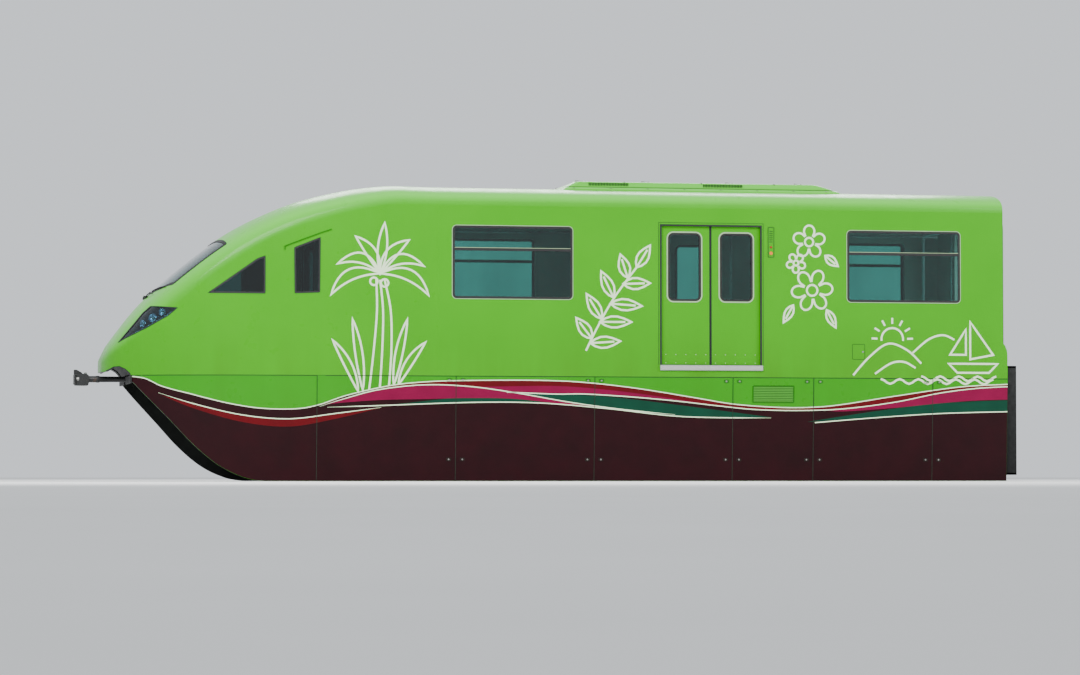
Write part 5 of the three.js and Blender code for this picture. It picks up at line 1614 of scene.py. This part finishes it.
def driver_desk():
    """Displays, levers and switches on the driver's desk."""
    run, out = Vector((0.3, 0, -0.15)).normalized(), Vector((0.15, 0, 0.3)).normalized()
    place = lambda y, s, w: tuple(Vector((-5.36, y, 1.40)) + run * s + out * w)
    shape = Shape()
    for middle in (-0.19, 0.19):
        panel = lambda half, s0, s1, radius: rounded_rect((middle - half, middle + half), (s0, s1), radius, 4)
        shape.plate(panel(0.165, 0.015, 0.235, 0.02), place, (-0.002, 0.018), 0)
        shape.frame(panel(0.15, 0.03, 0.22, 0.012), 0.0, -0.012, place, (0.017, 0.021), 1)
        shape.plate(panel(0.14, 0.04, 0.21, 0.008), place, (0.017, 0.0195), 2)
    shape.plate(rounded_rect((-0.62, -0.4), (0.02, 0.3), 0.02, 4), place, (-0.002, 0.006), 1)
    shape.plate(rounded_rect((-0.54, -0.51), (0.05, 0.27), 0.01, 4), place, (0.005, 0.0075), 3)
    shape.tube([place(-0.525, 0.16, 0.0), place(-0.525, 0.15, 0.12)], 0.009, 12, index=4)
    knob = [(0.0, -0.02), (0.018, -0.016), (0.025, 0.0), (0.02, 0.016), (0.0, 0.022)]
    shape.turned(knob, place(-0.525, 0.15, 0.13), "Z", 24, index=3)
    for k in range(4):
        for j in range(3):
            spot = (0.42 + 0.06 * k, 0.05 + 0.085 * j)
            shape.plate(circle(spot, 0.017, count=20), place, (-0.001, 0.004), 1)
            shape.plate(circle(spot, 0.012, count=20), place, (0.003, 0.011), (5, 6, 7)[(k + 2 * j) % 3])
    for radius, depth, index in ((0.03, (-0.001, 0.01), 6), (0.022, (0.009, 0.03), 5)):
        shape.plate(circle((-0.45, 0.24), radius), place, depth, index)
    neck = spline([place(*p) for p in ((0.36, 0.02, 0.0), (0.37, 0.0, 0.1), (0.33, 0.03, 0.2), (0.28, 0.08, 0.24))], 6)
    shape.tube(neck, 0.004, 8, index=3)
    shape.turned([(0.0, -0.02), (0.009, -0.014), (0.011, 0.012), (0.0, 0.018)], neck[-1], "X", 16, index=3)
    shape.piece("driver_desk_controls", "desk panel screen rubber chrome red_lens yellow trim", "desk")


def partition_trims():
    shape = Shape()
    window = rounded_rect((-0.1, 1.05), (1.48, 2.25), 0.06, 6)
    for x, face in ((-3.08, 1), (-3.12, -1)):
        place = lambda y, z, d: (x + face * d, y, z)
        shape.frame(window, -0.012, 0.02, place, (-0.006, 0.008))
        shape.ribbon([(-0.63, 0.632), (-0.63, 2.39), (-1.16, 2.39), (-1.16, 0.632)], 0.03, place, (-0.001, 0.009), index=1)
    shape.piece("partition_trims", "seal sill", "lining")
    glass = Shape().plate(rounded_rect((-0.108, 1.058), (1.472, 2.258), 0.06, 6), across_car, (-3.103, -3.097))
    glass.piece("partition_pane", "clear_glass", "glass")


def ceiling_fittings():
    """Two rows of lights, and air grilles between them."""
    shape = Shape()
    for y in (-0.62, 0.62):
        shape.box((-2.85, y - 0.075, 2.772), (5.75, y + 0.075, 2.7905), 0.008, 1)
        for k in range(6):
            x = -2.83 + 1.4267 * k
            tube = [(x, y - 0.06), (x + 1.4, y - 0.06), (x + 1.4, y + 0.06), (x, y + 0.06)]
            shape.plate(rounded(tube, 0.02, 3), flat, (2.766, 2.773))
    for x in (-1.9, 0.1, 3.1, 5.0):
        rim = rounded_rect((x - 0.4, x + 0.4), (-0.2, 0.2), 0.02, 3)
        shape.frame(rim, 0.0, -0.018, lambda u, v, w: (u, v, CEILING_Z - w), (-0.001, 0.006), 1)
        for y in spaced(-0.16, 0.16, 8):
            shape.box((x - 0.38, y - 0.006, 2.782), (x + 0.38, y + 0.006, 2.7905), 0.0, 1)
    shape.piece("ceiling_fittings", "diffuser sill", "lining")


def rail_fittings():
    """Flanges and clamps on the handrails."""
    shape = Shape()
    cup = lambda height: [(0.0, 0.0), (0.04, 0.0), (0.04, height * 0.3), (0.026, height), (0.0, height)]
    clamped = lambda radius, half: [(0.0, -half), (radius, -half), (radius + 0.003, 0.0), (radius, half), (0.0, half)]
    for side, sign in SIDES:
        for x in (-1.8, 1.22, 2.75, 5.5):
            for profile, z, axis in ((cup(0.03), SILL_Z, "Z"), (cup(-0.03), CEILING_Z, "Z"),
                                     (clamped(0.024, 0.03), 2.48, "Z"), (clamped(0.023, 0.04), 2.48, "X")):
                shape.turned(profile, (x, sign * 0.64, z), axis, 24)
    shape.piece("handrail_fittings", "steel", "steel")


# Ends, underfloor equipment and bogies

def front_coupler():
    """Draft pocket, shank with a rubber boot, and a coupling head with a guide horn, cone and electric box."""
    shape = Shape()
    for y in (-0.19, 0.165):
        shape.box((-5.25, y, 0.345), (-4.85, y + 0.025, 0.5), 0.004)
    for x, half, low, high in ((-5.25, 0.19, 0.34, 0.36), (-5.25, 0.19, 0.482, 0.5), (-4.9, 0.165, 0.36, 0.482)):
        shape.box((x, -half, low), (-4.85, half, high), 0.004)
    for y in (-0.13, 0.13):
        for x in (-5.2, -4.95):
            shape.peg(0.022, 0.338, 0.345, (x, y, 0), "Z", index=2)
    about = lambda profile, y, segments, index, **more: shape.turned(profile, (0, y, 0.43), "X", segments, index=index, **more)
    about([(0.0, -5.26), *((0.07 if k % 2 else 0.057, -5.26 + 0.016 * k) for k in range(18)), (0.0, -4.98)], 0, 28, 1)
    about([(0.0, -6.1), (0.042, -6.1), (0.042, -5.98), (0.046, -5.96), (0.046, -5.94), (0.038, -5.92), (0.036, -5.5),
           (0.044, -5.46), (0.044, -5.42), (0.038, -5.38), (0.038, -4.9), (0.0, -4.9)], 0, 28, 0)
    head = [(-6.25, 0.345), (-6.08, 0.345), (-6.07, 0.385), (-6.07, 0.475), (-6.1, 0.5), (-6.25, 0.5)]
    shape.plate(rounded(head, 0.012, 3), along_car, (-0.085, 0.085))
    shape.box((-6.262, -0.118, 0.36), (-6.238, 0.118, 0.492), 0.008)
    horn = [(-6.262, 0.485), (-6.14, 0.485), (-6.16, 0.515), (-6.225, 0.553), (-6.262, 0.553)]
    shape.plate(rounded(horn, 0.008, 3), along_car, (-0.03, 0.03))
    about([(0.0, -6.264), (0.012, -6.264), (0.034, -6.23), (0.034, -6.2), (0.0, -6.2)], -0.06, 24, 2)
    about([(0.036, -6.2635), (0.044, -6.2635), (0.044, -6.23), (0.036, -6.23)], 0.06, 24, 2, closed=True)
    shape.box((-6.2, -0.075, 0.342), (-6.1, 0.075, 0.352), 0.004, 2)
    for y in (-0.1, 0.1):
        for z in (0.38, 0.472):
            shape.peg(0.009, -6.2638, -6.25, (0, y, z), "X", index=2)
    shape.turned([(0.0, 0.498), (0.017, 0.498), (0.017, 0.512), (0.012, 0.518), (0.0, 0.518)], (-6.11, 0, 0), "Z", 20, index=2)
    shape.piece("coupling_head", "coupler rubber bolt", "coupler", replaces="coupler_front")


def rear_drawbar():
    middle, pin = (0, 0, 0.415), (6.165, 0, 0.415)
    shape = Shape().box((5.5, -0.2, 0.33), (5.9, 0.2, 0.5), 0.01)
    for y in (-0.16, 0.16):
        for x in (5.56, 5.7, 5.84):
            shape.peg(0.018, 0.323, 0.332, (x, y, 0), "Z", index=2)
    bar = [(0.0, 5.8), (0.052, 5.8), (0.052, 5.94), (0.042, 5.96), (0.042, 6.1), (0.044, 6.12), (0.044, 6.165), (0.0, 6.165)]
    shape.turned(bar, middle, "X", 28)
    shape.turned([(0.0, 5.885), (0.085, 5.885), (0.085, 5.905), (0.062, 5.915), (0.0, 5.915)], middle, "X", 32, index=1)
    shape.turned([(0.028, -0.045), (0.06, -0.045), (0.06, 0.045), (0.028, 0.045)], pin, "Z", 32, closed=True)
    shape.turned([(0.0, -0.05), (0.026, -0.05), (0.026, 0.05), (0.0, 0.052)], pin, "Z", 24, index=2)
    shape.piece("drawbar", "coupler rubber bolt", "coupler", replaces="drawbar_rear")


def end_fittings():
    """Sockets and steps on the end wall, beside the gangway, and the panel between the end wall and the ceiling."""
    outline = [(1.2, 2.6795), (1.15, 2.744), (1.0, 2.7895), (-1.0, 2.7895), (-1.15, 2.744), (-1.2, 2.6795)]
    header = Shape().plate(outline, across_car, (5.9, 5.9995))
    header.piece("end_wall_header", "end_wall", "body_paint", smooth=False)
    shape = Shape()
    for sign in (-1, 1):
        socket, step = sign * 1.1, sign * 1.14
        for z in (0.74, 0.92):
            shape.box((5.99, socket - 0.055, z - 0.055), (6.012, socket + 0.055, z + 0.055), 0.006)
            shape.turned([(0.0, 6.01), (0.042, 6.01), (0.042, 6.03), (0.036, 6.036), (0.0, 6.036)], (0, socket, z), "X", 28,
                         index=1)
        for z in spaced(1.25, 2.5, 5):
            shape.tube([(x, step + y, z) for x, y in ((5.995, -0.06), (6.03, -0.06), (6.03, 0.06), (5.995, 0.06))], 0.007, 8,
                       index=2)
    shape.piece("end_wall_fittings", "equipment rubber steel", "frame")


EQUIPMENT = [(-1.6, -0.52, 0.88), (-0.44, 0.76, 0.8), (0.84, 1.56, 0.9), (1.64, 2.4, 0.76)]  # from x, to x, depth below 0.5


def equipment_covers():
    """Covers, louvres and latches on the underfloor boxes."""
    shape = Shape()
    for side, sign in SIDES:
        face = upright(sign, 1.15)
        for number, (start, end, deep) in enumerate(EQUIPMENT):
            foot, middle = 0.5 - deep, (start + end) / 2
            shape.plate(rounded_rect((start + 0.04, end - 0.04), (foot + 0.05, 0.4), 0.03, 4), face, (-0.001, 0.006))
            for x in (middle - (end - start) / 4, middle + (end - start) / 4):
                shape.plate(rounded_rect((x - 0.03, x + 0.03), (0.33, 0.37), 0.008, 3), face, (0.005, 0.012), 1)
            for j in range(0 if number % 2 else 9):
                z = foot + 0.14 + 0.04 * j
                shape.box((start + 0.16, sign * 1.154, z), (end - 0.16, sign * 1.166, z + 0.016), 0.003, 2)
            shape.plate(rounded_rect((start + 0.05, end - 0.05), (0.6, 1.09), 0.04, 4),
                        lambda x, y, d: (x, sign * y, foot - d), (-0.001, 0.006))
            for x in (start + 0.09, middle, end - 0.09):
                for y in (0.64, 1.05):
                    shape.peg(0.012, foot - 0.012, foot, (x, sign * y, 0), "Z", index=1)
    shape.piece("equipment_covers", "equipment bolt dark_lining", "frame")


def bogie_details():
    """Air springs, motor ribs and bolts on each bogie."""
    folds = [(0.15 + 0.045 * abs(math.sin(math.pi * k / 12)), 0.195 + 0.165 * k / 24) for k in range(25)]
    spring = [(0.0, 0.187), (0.15, 0.187), *folds, (0.15, 0.368), (0.0, 0.368)]
    for bogie, middle in BOGIES.items():
        car, parts = Shape(), Shape()
        for side, sign in SIDES:
            car.turned(spring, (middle, sign * 0.79, 0), "Z", 40)
            for end in (-1, 1):
                axle, motor = middle + end * AXLE_OFFSET, middle + end * 0.66
                for k in range(8):
                    y = 0.514 + 0.04 * k
                    parts.box((motor - 0.205, sign * y, 0.085), (motor + 0.205, sign * (y + 0.012), 0.435))
                nuts(parts, (axle, 0, TYRE_R), "Y", 0.085, 8, sign * 0.463, 0.01, 0.012, index=1)
                for x in (axle - 0.06, axle + 0.06):
                    parts.peg(0.016, 0.518, 0.532, (x, sign * 0.38, 0), "Z", index=1)
            for x in (-0.45, -0.15, 0.15, 0.45):
                parts.peg(0.014, 0.328, 0.34, (middle + x, sign * 0.38, 0), "Z", index=1)
        car.piece(f"air_springs_{bogie}", "rubber", "frame")
        parts.piece(f"bogie_fittings_{bogie}", "bogie bolt", "frame", body=f"bogie_{bogie}")


# Finishes of the CAD nodes whose own shape stays, by the start of their names
DRESS = {
    "side_wall": "side_paint", "skirt": "skirt_paint", "windscreen": "screen_glass", "quarter_glass": "cab_glass",
    "cab_window_glass": "cab_glass", "window_glass": "window_glass", "door_glass": "window_glass", "door_leaf": "door_paint",
    "headlamp": "lamp_glass", "rear_end_wall": "end_wall", "gangway_bellows": "bellows", "underframe": "underframe",
    "underfloor_equipment": "equipment", "handrails": "steel", "cab_partition": "lining", "driver_desk": "desk",
    "bolster": "frame", "bogie_frame": "bogie", "wheelset": "tyre", "guide_wheel": "tyre", "stabilising": "tyre",
}

for build in (
    studio, cab_shell, roof, nose_skirts, wheels, bellows, apron, cab_panes, seals, headlamp_insides, nose_lip, wipers,
    doors, doorways, side_fittings, roof_cooler, livery_bands, livery_lines, benches, driver_seat, driver_desk,
    partition_trims, ceiling_fittings, rail_fittings, front_coupler, rear_drawbar, end_fittings, equipment_covers,
    bogie_details,
):
    build()

for start, finish in DRESS.items():
    for name, node in frame["nodes"].items():
        if name.startswith(start):
            for place in node.material_slots:
                place.material = M[finish]
